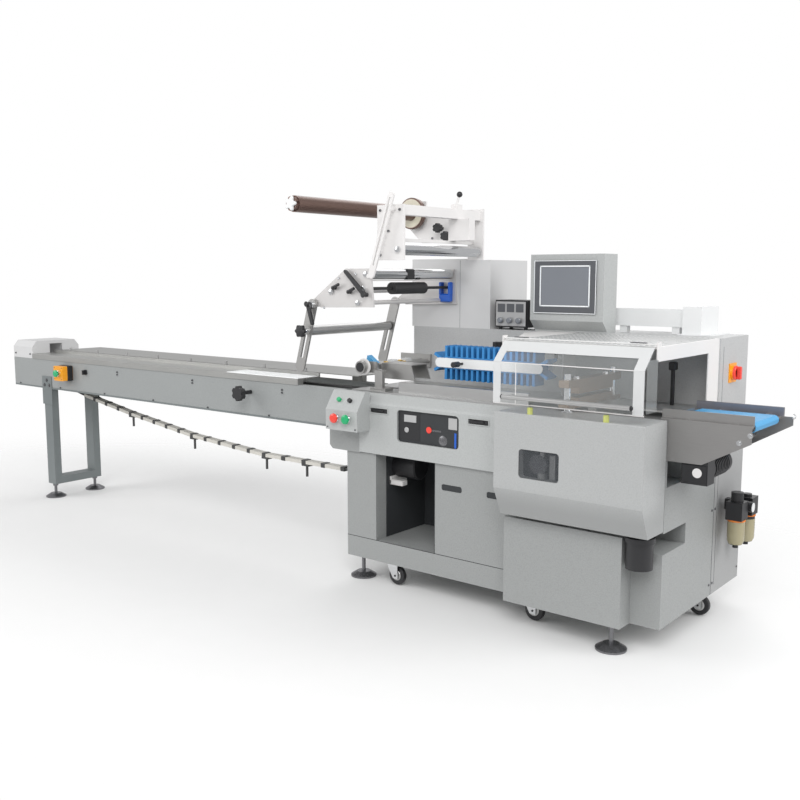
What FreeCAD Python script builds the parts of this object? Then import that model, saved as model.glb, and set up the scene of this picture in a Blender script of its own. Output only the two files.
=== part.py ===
import FreeCAD, Part
import math
import os

# Horizontal flow wrapper. Millimetres, +X downstream, +Y away from the operator, +Z up.
# Working frame: x = 0 at the cabinet's infeed face, y = 0 at its front, z = 0 at the floor.

# Common
LINE_Y = 162.0            # product centre line
FIT = 0.05                # radial running fit
CLEAR = 6.0               # gap beside a moving piece
SHEET = 4.0
PLATE = 10.0

# Main cabinet
CAB_L = 1382.0
CAB_D = 451.0
CAB_BOTTOM = 98.0
PLINTH_TOP = 185.0
BAY_TOP = 545.0
BAY_X0 = 156.0
BAY_X1 = 454.0
BAY_DEPTH = 330.0
PANEL_X1 = 820.0
PANEL_T = 3.0
COVER_X0 = 77.0
COVER_X1 = 832.0
COVER_TOP = 750.0
COVER_T = 12.0
DECK_UNDER = 787.0
DECK_T = 10.0
DECK_EDGE = 30.0                              # deck's front edge, y
LEDGE = (230.0, 832.0, 56.0, 64.0, 839.0)     # x0, x1, y0, y1, top
REAR_D = 285.0
REAR_TOP = 1041.0
WINDOW = (275.0, 573.0, 612.0, 739.0)         # x0, x1, z0, z1
WINDOW_R = 16.0
WINDOW_DEPTH = 9.0
LATCH_W = 90.0
LATCH_H = 19.0
LATCH_X = (138.0, 617.0)
LATCH_Z = 717.0
FINGER_W = 95.0
FINGER_H = 25.0
FINGER_X = (486.0, 693.0)
FINGER_Z = 443.0

# Infeed conveyor
INFEED_X0 = -2640.0
INFEED_X1 = -36.0
INFEED_Y0 = 13.0
INFEED_Z0 = 629.0
INFEED_Z1 = 793.0
FLANGE = 30.0
TIE_X = (-2420.0, -1900.0, -1300.0, -700.0, -150.0)
TABLE_TOP = 820.0
TABLE_X1 = -294.0
TABLE_BACK = 150.0
REAR_TABLE = (-2430.0, -100.0, 186.0, 452.0, 832.0)   # x0, x1, y0, y1, top
GUIDE_TOP = 835.0
GUIDE_T = 8.0
HOOD_X1 = -2437.0
HOOD_TOP = 890.0
HOOD_CHAMFER = (27.0, 34.0)
HOOD_MOUTH = (80.0, 52.0)
LEG_X = -2333.0
LEG_W = 75.0
LEG_T = 42.0
LEG_Z0 = 78.0
CROSSBAR_H = 42.0
FOOT_R = 55.0
FOOT_H = 22.0
STEM_R = 8.0

# Chain: centre line of the loop, x and z
CHAIN_W = 32.0
CHAIN_T = 10.0
CHAIN_TOP_Z = 783.0
TAIL_WHEEL = (-2545.0, 729.0, 54.0)           # x, z, radius to the chain's centre line
HEAD_WHEEL = (72.0, 729.0, 54.0)
RETURN_LOW_Z = 421.0
RETURN_X = (-2146.0, -1704.0, -1190.0, -660.0, -394.0, -155.0)
RETURN_Z = (591.0, 522.0, 457.0, 421.0, 420.0, 419.0)
PUSHER_R = 6.0
PUSHER_H = 64.0
PUSHER_PITCH = 270.0
PUSHER_X0 = -2284.0
PUSHER_COUNT = 8
RETURN_PUSHERS = 4

# Film units
COLUMN = (-10.0, 403.0, 1328.0)               # x0, x1, top
LOW_PLATE_Y = -108.0
UP_PLATE_Y = -80.0
PIVOT = (-76.0, 1146.0)
ARM_END = (-149.0, 893.0)
ARM_W = 48.0
ARM_T = 8.0
PIN_R = 8.0
DANCER_AXIS = (-107.0, 1041.0)
DANCER_R = 20.0
TOP_ROLLER = (202.0, 1269.0, 21.0)            # x, z, radius
NIP_ROLLER = (189.0, 1213.0, 24.0)
UP_ROLLER = (336.0, 1361.0, 21.5)
JOURNAL_R = 6.0
MANDREL = (16.0, 1531.0, 31.0)
MANDREL_Y0 = -321.0
REEL_R = 67.5
REEL_T = 24.0
BEARING_R = 42.0
BEARING_T = 16.0

# Sealing end
SEAL_X0 = 830.0
SEAL_Y0 = -169.0
SEAL_TOP = 801.0
SEAL_CREASE = 535.0
SEAL_BOTTOM = 432.0
SEAL_UNDER_Y = -120.0
SEAL_WINDOW = (932.0, 1086.0, 582.0, 681.0)
LOWER_X = (820.0, 1275.0)
LOWER_Y0 = -77.0
LOWER_TOP = 411.0
RIGHT_TOP = 353.0
JAW_X = 1030.0
JAW_W = 40.0
POST_R = 12.0
POST_Y = (-18.0, 327.0)
POST_TOP = 930.0
HEAD_Z = (884.0, 909.0)
JAW_GAP = (844.0, 858.0)                      # lower jaw's top, upper jaw's edge
LOW_HEAD_Z = (811.0, 826.0)
BED_Z = (812.0, 818.0)
GUARD_X = (815.0, 1367.0)
GUARD_Y0 = -150.0
GUARD_Z0 = 828.0
GUARD_BEND = 971.0
GUARD_HINGE = (-72.0, 1047.0)
ACRYLIC = 5.0
COVER2 = (-60.0, 451.0, 1033.0, 1041.0)       # perforated cover y0, y1, z0, z1

# Brush unit
BRUSH_X = (345.0, 875.0)
BRUSH_Z = (857.0, 990.0)
BRUSH_W = 68.0
BRUSH_CORE = 24.0
BRUSH_BELT = 5.0
CLEAT_T = 11.0
CLEATS = 38
BRUSH_PLATE = (364.0, 850.0, 905.0, 942.0)

# Discharge
OUT_X1 = 1649.0
OUT_Y = (5.0, 300.0)
OUT_TOP = 799.0
OUT_LOW = 669.0
OUT_STEP = 1497.0
OUT_NOSE_Z = 751.0
BELT_Y = (25.0, 245.0)
BELT_TOP = 815.0
BELT_R = 15.5
BELT_T = 2.5
BELT_X = (1404.0, 1640.0)
MOTOR = (1474.0, 645.0, 43.0)

# Castors and feet
LEVEL_FEET = ((40.0, 55.0), (1221.0, -22.0), (40.0, 681.0), (1221.0, 681.0))
LEVEL_R = 54.0
CASTORS = ((208.0, 50.0), (858.0, 50.0), (1310.0, 485.0), (208.0, 640.0))
WHEEL_R = 39.0
WHEEL_W = 20.0
WHEEL_LIFT = 2.5
TRAIL = 22.0
AXLE_R = 4.0


def vec(x, y, z):
    """A point."""
    return FreeCAD.Vector(x, y, z)


def box(x0, x1, y0, y1, z0, z1):
    """A block between two corners."""
    return Part.makeBox(x1 - x0, y1 - y0, z1 - z0, vec(x0, y0, z0))


def rod(x, y, z, axis, radius, length):
    """A cylinder that starts at a point and runs along an axis letter."""
    way = {"x": vec(1, 0, 0), "y": vec(0, 1, 0), "z": vec(0, 0, 1)}[axis]
    return Part.makeCylinder(radius, length, vec(x, y, z), way)


def rod_between(a, b, radius):
    """A cylinder between two points."""
    way = vec(*b) - vec(*a)
    return Part.makeCylinder(radius, way.Length, vec(*a), way)


def face_of(points):
    """A flat face inside a closed outline."""
    return Part.Face(Part.makePolygon(list(points) + [points[0]]))


def across(outline, y0, y1):
    """An x-z outline pushed along Y."""
    return face_of([vec(x, y0, z) for x, z in outline]).extrude(vec(0, y1 - y0, 0))


def along(outline, x0, x1):
    """A y-z outline pushed along X."""
    return face_of([vec(x0, y, z) for y, z in outline]).extrude(vec(x1 - x0, 0, 0))


def fuse(*solids):
    """One solid from several that touch."""
    return solids[0].multiFuse(list(solids[1:])).removeSplitter()


def cut(solid, *tools):
    """A solid less its tools."""
    for tool in tools:
        solid = solid.cut(tool)
    return solid


def group(*solids):
    """Separate solids of one node."""
    return Part.makeCompound(list(solids))


def rounded(x0, x1, z0, z1, y0, y1, radius):
    """A block with rounded corners seen from the front."""
    solid = box(x0, x1, y0, y1, z0, z1)
    edges = [e for e in solid.Edges if abs(e.tangentAt(e.FirstParameter).y) > 0.9]
    return solid.makeFillet(radius, edges)


def stadium(x0, x1, z, radius, y0, y1):
    """A bar with round ends between two axes along Y."""
    return fuse(box(x0, x1, y0, y1, z - radius, z + radius),
                rod(x0, y0, z, "y", radius, y1 - y0), rod(x1, y0, z, "y", radius, y1 - y0))


def capsule(a, b, y, thick, radius):
    """A flat bar with round ends between two x-z points."""
    dx, dz = b[0] - a[0], b[1] - a[1]
    size = math.hypot(dx, dz)
    nx, nz = -dz / size * radius, dx / size * radius
    corners = [(a[0] + nx, a[1] + nz), (b[0] + nx, b[1] + nz),
               (b[0] - nx, b[1] - nz), (a[0] - nx, a[1] - nz)]
    ends = [rod(p[0], y, p[1], "y", radius, thick) for p in (a, b)]
    return fuse(across(corners, y, y + thick), *ends)


def slotted(a, b, y, thick, radius, slot, rim):
    """A flat bar with one long slot down its middle."""
    dx, dz = b[0] - a[0], b[1] - a[1]
    size = math.hypot(dx, dz)
    ux, uz = dx / size, dz / size
    start = (a[0] + ux * rim, a[1] + uz * rim)
    stop = (b[0] - ux * rim / 3, b[1] - uz * rim / 3)
    return cut(capsule(a, b, y, thick, radius), capsule(start, stop, y - 1, thick + 2, slot))


def star(x, y, z, axis, radius, length, lobes=6):
    """A star knob: a disc with scooped lobes."""
    knob = rod(x, y, z, axis, radius, length)
    for i in range(lobes):
        turn = 2 * math.pi * i / lobes
        reach = radius * 1.18
        a, b = reach * math.cos(turn), reach * math.sin(turn)
        place = {"x": (x - 1, y + a, z + b), "y": (x + a, y - 1, z + b),
                 "z": (x + a, y + b, z - 1)}[axis]
        knob = knob.cut(rod(*place, axis, radius * 0.36, length + 2))
    return knob


# ---------------------------------------------------------------- infeed conveyor

def side_panel(y_face, inward):
    """A folded channel panel; inward is +1 or -1 along Y."""
    f, t = FLANGE * inward, SHEET * inward
    outline = [(y_face, INFEED_Z0), (y_face + f, INFEED_Z0), (y_face + f, INFEED_Z0 + SHEET),
               (y_face + t, INFEED_Z0 + SHEET), (y_face + t, INFEED_Z1 - SHEET),
               (y_face + f, INFEED_Z1 - SHEET), (y_face + f, INFEED_Z1), (y_face, INFEED_Z1)]
    return along(outline, INFEED_X0, INFEED_X1)


def rear_face():
    """The rear panel's outer face, mirrored about the product line."""
    return 2 * LINE_Y - INFEED_Y0


def cross_ties():
    """Round spacers that hold the two side panels apart."""
    y0, y1 = INFEED_Y0 + SHEET, rear_face() - SHEET
    return group(*[rod(x, y0, 735.0, "y", 11.0, y1 - y0) for x in TIE_X])


def front_table():
    """The product table's front half, with its down-turned lip."""
    lip = INFEED_Y0 - SHEET
    outline = [(lip, INFEED_Z1), (INFEED_Y0, INFEED_Z1), (INFEED_Y0 + FLANGE, INFEED_Z1),
               (INFEED_Y0 + FLANGE, TABLE_TOP - SHEET), (TABLE_BACK, TABLE_TOP - SHEET),
               (TABLE_BACK, TABLE_TOP), (lip + 3, TABLE_TOP), (lip, TABLE_TOP - 3)]
    return along(outline, HOOD_X1, TABLE_X1)


def rear_table():
    """The wide table behind the chain, on blocks over the rear panel."""
    x0, x1, y0, y1, top = REAR_TABLE
    plate = along([(y0, top - SHEET), (y1, top - SHEET), (y1, top - 18), (y1 + 3, top - 18),
                   (y1 + 3, top), (y0, top)], x0, x1)
    inner = rear_face() - FLANGE
    blocks = [box(x, x + 60, inner, rear_face(), INFEED_Z1, top - SHEET)
              for x in (x0 + 60, (x0 + x1) / 2, x1 - 120)]
    return fuse(plate, *blocks)


def product_guide():
    """The low rail along the front table's chain edge."""
    return box(HOOD_X1, TABLE_X1, TABLE_BACK - GUIDE_T, TABLE_BACK, TABLE_TOP, GUIDE_TOP)


def tail_hood():
    """The chamfered cover over the tail wheel, open where the chain comes out."""
    dy, dz = HOOD_CHAMFER
    y0, y1 = INFEED_Y0, rear_face()
    outline = [(y0, INFEED_Z1), (y1, INFEED_Z1), (y1, HOOD_TOP - dz), (y1 - dy, HOOD_TOP),
               (y0 + dy, HOOD_TOP), (y0, HOOD_TOP - dz)]
    wide, high = HOOD_MOUTH
    mouth = box(INFEED_X0 + 15, HOOD_X1 + 1, LINE_Y - wide / 2, LINE_Y + wide / 2,
                INFEED_Z1 - 1, TABLE_TOP + high)
    return cut(along(outline, INFEED_X0, HOOD_X1), mouth)


def leg_frame():
    """The two tube legs and their crossbar, with plates bolted to the panels."""
    x0, x1 = LEG_X, LEG_X + LEG_W
    front, back = INFEED_Y0 + FLANGE, rear_face() - FLANGE
    legs = [box(x0, x1, INFEED_Y0, front + 12, LEG_Z0, INFEED_Z0),
            box(x0, x1, back - 12, rear_face(), LEG_Z0, INFEED_Z0)]
    bar = box(x0, x1, front, back, LEG_Z0, LEG_Z0 + CROSSBAR_H)
    plates = [box(x0 - 10, x1 + 10, INFEED_Y0 - SHEET, INFEED_Y0, INFEED_Z0 - 90, INFEED_Z0 + 70),
              box(x0 - 10, x1 + 10, rear_face(), rear_face() + SHEET,
                  INFEED_Z0 - 90, INFEED_Z0 + 70)]
    return fuse(*legs, bar, *plates)


def rubber_foot(x, y, radius, top):
    """A domed levelling foot with its stem and lock nut."""
    dome = [(0, 0), (radius, 0), (radius, 7), (radius * 0.55, FOOT_H), (0, FOOT_H)]
    disc = face_of([vec(x + r, y, z) for r, z in dome]).revolve(vec(x, y, 0), vec(0, 0, 1), 360)
    nut = rod(x, y, top - 14, "z", STEM_R * 1.8, 14)
    return fuse(disc, rod(x, y, FOOT_H - 2, "z", STEM_R, top - FOOT_H + 2), nut)


def infeed_feet():
    """The feet under the two legs."""
    x = LEG_X + LEG_W / 2
    places = (INFEED_Y0 + LEG_T / 2, rear_face() - LEG_T / 2)
    return group(*[rubber_foot(x, y, FOOT_R, LEG_Z0) for y in places])


def chain_route():
    """The closed centre line of the chain: two wheels, a straight top and a hanging return."""
    tx, tz, tr = TAIL_WHEEL
    hx, hz, hr = HEAD_WHEEL
    route = [vec(tx, 0, tz + tr), vec(hx, 0, hz + hr)]
    for i in range(1, 7):
        turn = math.pi / 2 - math.pi * i / 6
        route.append(vec(hx + hr * math.cos(turn), 0, hz + hr * math.sin(turn)))
    route.append(vec(hx - 32, 0, RETURN_LOW_Z + 19))
    for x, z in reversed(list(zip(RETURN_X, RETURN_Z))):
        route.append(vec(x, 0, z))
    for i in range(0, 6):
        turn = -math.pi / 2 - math.pi * i / 6
        route.append(vec(tx + tr * math.cos(turn), 0, tz + tr * math.sin(turn)))
    return route


def infeed_chain():
    """The fixed chain loop: a band with link blocks along its return run."""
    route = chain_route()
    wire = Part.makePolygon(route + [route[0]])
    outer = Part.Face(wire.makeOffset2D(CHAIN_T / 2))
    inner = Part.Face(wire.makeOffset2D(-CHAIN_T / 2))
    band = outer.cut(inner).Faces[0].extrude(vec(0, CHAIN_W, 0))
    band.translate(vec(0, LINE_Y - CHAIN_W / 2, 0))
    return fuse(band, *hanging_pushers())


def hanging_pushers():
    """The pushers that hang upside down from the return run, each on its link block."""
    pushers = []
    for x, z in list(zip(RETURN_X, RETURN_Z))[1:1 + RETURN_PUSHERS]:
        block = box(x - 22, x + 22, LINE_Y - 14, LINE_Y + 14, z - CHAIN_T / 2 - 14, z)
        pin = rod(x, LINE_Y, z - CHAIN_T / 2 - PUSHER_H, "z", PUSHER_R, PUSHER_H)
        pushers.append(fuse(block, pin))
    return pushers


def chain_pushers():
    """The upright pusher pins on the top run."""
    top = CHAIN_TOP_Z + CHAIN_T / 2
    return group(*[rod(PUSHER_X0 + PUSHER_PITCH * i, LINE_Y, top, "z", PUSHER_R, PUSHER_H)
                   for i in range(PUSHER_COUNT)])


def chain_wheels():
    """The tail and head wheels inside the chain loop, with their shafts."""
    wheels = []
    y0, y1 = INFEED_Y0 + SHEET, rear_face() - SHEET
    for x, z, r in (TAIL_WHEEL, HEAD_WHEEL):
        wheel = rod(x, LINE_Y - CHAIN_W / 2, z, "y", r - CHAIN_T / 2 - 2, CHAIN_W)
        if x < INFEED_X1:
            wheel = fuse(wheel, rod(x, y0, z, "y", 12.0, y1 - y0))
        else:
            wheel = fuse(wheel, rod(x, LINE_Y - 46, z, "y", 12.0, 92.0))
        wheels.append(wheel)
    return group(*wheels)


# ---------------------------------------------------------------- controls at the front

def start_station():
    """The one-button box on the front panel."""
    base = box(-2120, -2033, INFEED_Y0 - 34, INFEED_Y0, 693, 773)
    edges = [e for e in base.Edges if abs(e.tangentAt(e.FirstParameter).y) > 0.9]
    return base.makeFillet(6, edges)


def station_cover():
    """The coloured front half of the one-button box."""
    return rounded(-2120, -2033, 693, 773, INFEED_Y0 - 63, INFEED_Y0 - 34, 6)


def mushroom(x, y, z, radius=20.0, reach=24.0):
    """A mushroom button that faces the operator."""
    head = [(0, 0), (radius * 0.55, 0), (radius * 0.55, reach - 11), (radius, reach - 9),
            (radius * 0.92, reach - 3), (radius * 0.6, reach), (0, reach)]
    face = face_of([vec(x + r, y - t, z) for r, t in head])
    return face.revolve(vec(x, y, z), vec(0, 1, 0), 360)


def control_box():
    """The push-button box with its slanted top plate."""
    back = -COVER_T
    outline = [(back, 642), (-90, 642), (-90, 724), (-40, 799), (back, 799)]
    bracket = box(0, COVER_X0, back, PANEL_T, 655, 750)
    return fuse(along(outline, INFEED_X1, 134), bracket)


def side_knobs():
    """The table's star handwheel and the small selector beside it."""
    wheel = fuse(rod(-597, -48, 740, "y", 9, 48 + INFEED_Y0), star(-597, -72, 740, "y", 34, 24))
    selector = fuse(rod(-1907, 4, 746, "y", 14, INFEED_Y0 - 4), box(-1911, -1903, -10, 4, 734, 758))
    return group(wheel, selector)


def transition_panel():
    """The bracket that carries the conveyor's end on the cabinet."""
    outline = [(-90, 560), (-74, 544), (COVER_X0, 544), (COVER_X0, 642), (-90, 642)]
    tab = box(-90, INFEED_X1, 0, INFEED_Y0, INFEED_Z0, 642)
    pad = box(0, COVER_X0, 0, PANEL_T, 560, 640)
    return fuse(across(outline, -9.0, 0), tab, pad)


# ---------------------------------------------------------------- main cabinet

def cabinet_body():
    """The welded housing, with the open bay, the chain's slot and the castor bores."""
    face = PANEL_T
    body = box(0, CAB_L, face, CAB_D, CAB_BOTTOM, DECK_UNDER)
    bay = box(BAY_X0, BAY_X1, face - 1, BAY_DEPTH, PLINTH_TOP, BAY_TOP)
    slot = box(-1, HEAD_WHEEL[0] + 80, LINE_Y - 46, LINE_Y + 46, RETURN_LOW_Z - 60, DECK_UNDER + 1)
    end_pocket = box(1300, CAB_L + 1, 15, 190, 577, 669)
    slope = DECK_EDGE - face
    corner = along([(face - 1, DECK_UNDER - slope - 1), (DECK_EDGE + 1, DECK_UNDER + 1),
                    (face - 1, DECK_UNDER + 1)], -1, COVER_X1)
    low = box(LOWER_X[1], CAB_L + 1, face - 1, 190, RIGHT_TOP, SEAL_BOTTOM - 7)
    bores = [rod(x, y, CAB_BOTTOM - 1, "z", PIN_R + FIT, 31) for x, y in CASTORS if y < CAB_D]
    return cut(body, bay, slot, end_pocket, low, corner, *bores)


def cabinet_plinth():
    """The kick plate and the closed left pillar's face."""
    kick = box(0, PANEL_X1, 0, PANEL_T, CAB_BOTTOM, PLINTH_TOP)
    pillar = box(0, BAY_X0, 0, PANEL_T, PLINTH_TOP, 544)
    end = box(PANEL_X1, CAB_L, 0, PANEL_T, CAB_BOTTOM, RIGHT_TOP)
    return fuse(kick, pillar, end)


def front_cover():
    """The upper cover with rounded top, framed window opening and two latch pockets."""
    y0 = -COVER_T
    slope = DECK_EDGE - PANEL_T
    outline = [(y0, 548), (PANEL_T, 548), (PANEL_T, DECK_UNDER - slope), (DECK_EDGE, DECK_UNDER),
               (DECK_EDGE, DECK_UNDER + 3), (DECK_EDGE - 6, DECK_UNDER + 3),
               (y0 + 5, COVER_TOP + 9), (y0, COVER_TOP)]
    cover = along(outline, COVER_X0, COVER_X1)
    x0, x1, z0, z1 = WINDOW
    cover = cover.cut(rounded(x0, x1, z0, z1, y0 - 1, PANEL_T + 1, WINDOW_R))
    for x in LATCH_X:
        rim = rounded(x - 3, x + LATCH_W + 3, LATCH_Z - 3, LATCH_Z + LATCH_H + 3,
                      y0 - 3, y0 + 2, 4)
        pocket = rounded(x, x + LATCH_W, LATCH_Z, LATCH_Z + LATCH_H, y0 - 4, y0 + 7, 3)
        cover = cover.fuse(rim).cut(pocket)
    return cover


def cover_window():
    """The clear panes behind the cover's and the seal box's windows."""
    x0, x1, z0, z1 = WINDOW
    first = rounded(x0, x1, z0, z1, PANEL_T - 5, PANEL_T, WINDOW_R)
    x0, x1, z0, z1 = SEAL_WINDOW
    second = rounded(x0, x1, z0, z1, SEAL_Y0 + 2, SEAL_Y0 + 6, 12)
    return group(first, second)


def lower_panel():
    """The lift-off panel with its finger slots."""
    panel = box(BAY_X1, PANEL_X1, 0, PANEL_T, PLINTH_TOP, BAY_TOP)
    for x in FINGER_X:
        panel = panel.cut(rounded(x, x + FINGER_W, FINGER_Z, FINGER_Z + FINGER_H, -1, 2,
                                  FINGER_H * 0.4))
    return panel


def deck_plate():
    """The stainless deck on the cabinet, with its channel ledge."""
    plate = box(0, CAB_L, DECK_EDGE, CAB_D, DECK_UNDER, DECK_UNDER + DECK_T)
    slot = box(-1, HEAD_WHEEL[0] + 80, LINE_Y - 24, LINE_Y + 24, DECK_UNDER - 1,
               DECK_UNDER + DECK_T + 1)
    x0, x1, y0, y1, top = LEDGE
    ledge = box(x0, x1, y0, y1, DECK_UNDER + DECK_T, top)
    lip = box(x0, x1, y0, y1 + 12, top - 3, top)
    front = box(COVER_X1, CAB_L, PANEL_T, DECK_EDGE, DECK_UNDER, DECK_UNDER + DECK_T)
    return fuse(cut(plate, slot), ledge, lip, front)


def forming_bed():
    """The narrow bed that carries the film tube past the seal jaws, cut out around them."""
    z0, z1 = BED_Z
    y0, y1 = LINE_Y - 75, LINE_Y + 75
    gap = JAW_W / 2 + CLEAR
    deck = DECK_UNDER + DECK_T
    left = fuse(box(683, JAW_X - gap, y0, y1, z0, z1), box(700, 730, y0, y1, deck, z0),
                box(JAW_X - gap - 30, JAW_X - gap, y0, y1, deck, z0))
    right = fuse(box(JAW_X + gap, CAB_L, y0, y1, z0, z1),
                 box(JAW_X + gap, JAW_X + gap + 30, y0, y1, deck, z0),
                 box(CAB_L - 30, CAB_L, y0, y1, deck, z0))
    return group(left, right)


def rear_cabinet():
    """The tall electrical cabinet behind the line."""
    body = box(0, CAB_L, CAB_D, CAB_D + REAR_D, CAB_BOTTOM, REAR_TOP)
    bores = [rod(x, y, CAB_BOTTOM - 1, "z", PIN_R + FIT, 31) for x, y in CASTORS if y > CAB_D]
    return cut(body, *bores)


# ---------------------------------------------------------------- sealing end

def seal_lower_cabinet():
    """The projecting housing under the sealing head."""
    return box(LOWER_X[0], LOWER_X[1], LOWER_Y0, 0, CAB_BOTTOM, LOWER_TOP)


def seal_box():
    """The creased sealing box, with its window recess."""
    outline = [(0, SEAL_BOTTOM), (SEAL_UNDER_Y, SEAL_BOTTOM), (SEAL_Y0, SEAL_CREASE),
               (SEAL_Y0, SEAL_TOP - 4), (SEAL_Y0 + 4, SEAL_TOP), (PANEL_T, SEAL_TOP),
               (PANEL_T, DECK_UNDER + DECK_T), (PANEL_T, DECK_UNDER), (0, DECK_UNDER)]
    outline = [outline[0], outline[1], outline[2], outline[3], outline[4], (0, SEAL_TOP)]
    body = along(outline, SEAL_X0 + 2, CAB_L)
    x0, x1, z0, z1 = SEAL_WINDOW
    return body.cut(rounded(x0, x1, z0, z1, SEAL_Y0 - 1, SEAL_Y0 + 40, 12))


def seal_motor():
    """The motor that stands under the sealing box."""
    x, y = 1326.0, -52.0
    return fuse(rod(x, y, 313, "z", 44, 90), rod(x, y, 403, "z", 50, 17),
                box(x - 40, x + 40, y - 20, y + 20, 420, SEAL_BOTTOM))


def jaw_posts():
    """The two guide posts, standing in flanges."""
    base = (SEAL_TOP, DECK_UNDER + DECK_T)
    posts = []
    for y, z in zip(POST_Y, base):
        posts.append(fuse(rod(JAW_X, y, z, "z", POST_R, POST_TOP - z),
                          rod(JAW_X, y, z, "z", POST_R + 10, 3.5)))
    return group(*posts)


def crosshead(z0, z1, edge0, edge1):
    """A bar bored for both posts, with a tapered sealing bar on it."""
    x0, x1 = JAW_X - JAW_W / 2, JAW_X + JAW_W / 2
    bar = box(x0, x1, POST_Y[0] - 26, POST_Y[1] + 26, z0, z1)
    jaw = box(x0 + 3, x1 - 3, LINE_Y - 130, LINE_Y + 130, min(edge0, edge1), max(edge0, edge1))
    solid = fuse(bar, jaw)
    return cut(solid, *[rod(JAW_X, y, z0 - 40, "z", POST_R + FIT, 120) for y in POST_Y])


def upper_jaw():
    """The upper crosshead with its sealing bar."""
    return crosshead(HEAD_Z[0], HEAD_Z[1], JAW_GAP[1], HEAD_Z[0])


def lower_jaw():
    """The lower crosshead with its sealing bar."""
    return crosshead(LOW_HEAD_Z[0], LOW_HEAD_Z[1], LOW_HEAD_Z[1], JAW_GAP[0])


def guard_hood():
    """The bent acrylic hood with its two ends and hinge barrel."""
    y1, z1 = GUARD_HINGE
    t = ACRYLIC
    outline = [(GUARD_Y0, GUARD_Z0), (GUARD_Y0 + t, GUARD_Z0), (GUARD_Y0 + t, GUARD_BEND - t / 2),
               (y1 + t / 2, z1 - t), (y1, z1), (GUARD_Y0, GUARD_BEND)]
    pane = along(outline, *GUARD_X)
    barrel = rod(GUARD_X[0], y1, z1, "x", 5.0, GUARD_X[1] - GUARD_X[0])
    hood = fuse(pane, barrel)
    return cut(hood, rod(GUARD_X[0] - 1, y1, z1, "x", 2.5 + FIT, GUARD_X[1] - GUARD_X[0] + 2))


def guard_handle():
    """The bar handle across the hood's front, on three studs."""
    x0, x1 = 876.0, 1341.0
    y, z = GUARD_Y0 - 38, 857.0
    bar = rod(x0, y, z, "x", 8.0, x1 - x0)
    studs = [rod(x, y, z, "y", 6.0, 38.0) for x in (x0 + 20, (x0 + x1) / 2, x1 - 20)]
    return fuse(bar, *studs)


def guard_frame():
    """The fixed frame behind the hood: end plates, rear post and the hinge pin."""
    y1, z1 = GUARD_HINGE
    left, right = GUARD_X[0] - CLEAR, GUARD_X[1] + CLEAR
    deck = DECK_UNDER + DECK_T
    pin = rod(left - SHEET, y1, z1, "x", 2.5, right - left + 2 * SHEET)
    frames = []
    for x in (left - SHEET, right):
        ear = box(x, x + SHEET, y1 - 9, COVER2[0] + 6, 1000, z1 + 9)
        band = box(x, x + SHEET, y1, CAB_D, 995, COVER2[3])
        post = box(x, x + SHEET, 349, CAB_D, deck, COVER2[3])
        frames += [ear, band, post]
    return fuse(*frames, pin)


def perforated_cover():
    """The top cover, with rows of louvre slots."""
    y0, y1, z0, z1 = COVER2
    right = GUARD_X[1] + CLEAR
    left = GUARD_X[0] - CLEAR
    plan = [vec(left, y0, z0), vec(right, y0, z0), vec(right, y1, z0), (vec(645, y1, z0)),
            vec(645, y1 - 120, z0), vec(left, y0 + 60, z0)]
    plate = face_of(plan).extrude(vec(0, 0, z1 - z0))
    slots = []
    for i in range(9):
        for j in range(4):
            x, y = left + 60 + 54 * i, y0 + 50 + 115 * j
            slots.append(stadium_z(x, x + 30, y, 3.5, z0 - 1, z1 + 1))
    return plate.cut(Part.makeCompound(slots))


def stadium_z(x0, x1, y, radius, z0, z1):
    """An upright slot tool with round ends."""
    return fuse(box(x0, x1, y - radius, y + radius, z0, z1),
                rod(x0, y, z0, "z", radius, z1 - z0), rod(x1, y, z0, "z", radius, z1 - z0))


# ---------------------------------------------------------------- brush hold-down and former

def brush_frame():
    """The two side plates of the brush unit and the posts to the rear wall."""
    x0, x1, z0, z1 = BRUSH_PLATE
    zc, r = (z0 + z1) / 2, (z1 - z0) / 2
    half = BRUSH_W / 2 + 3
    plates = [stadium(x0 + r, x1 - r, zc, r, LINE_Y - half - SHEET, LINE_Y - half),
              stadium(x0 + r, x1 - r, zc, r, LINE_Y + half, LINE_Y + half + SHEET)]
    posts = [rod(x, LINE_Y + half + SHEET, zc, "y", 10.0, CAB_D - LINE_Y - half - SHEET)
             for x in (470.0, 740.0)]
    reach = (BRUSH_Z[1] - BRUSH_Z[0]) / 2
    ties = [rod(x, LINE_Y - half, zc, "y", 6.0, 2 * half)
            for x in (BRUSH_X[0] + reach, 600.0, BRUSH_X[1] - reach)]
    collars = [box(x - 12, x + 12, 403, 427, zc - 12, zc + 12) for x in (470.0, 740.0)]
    return fuse(plates[0], plates[1], *posts, *ties, *collars)


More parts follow.
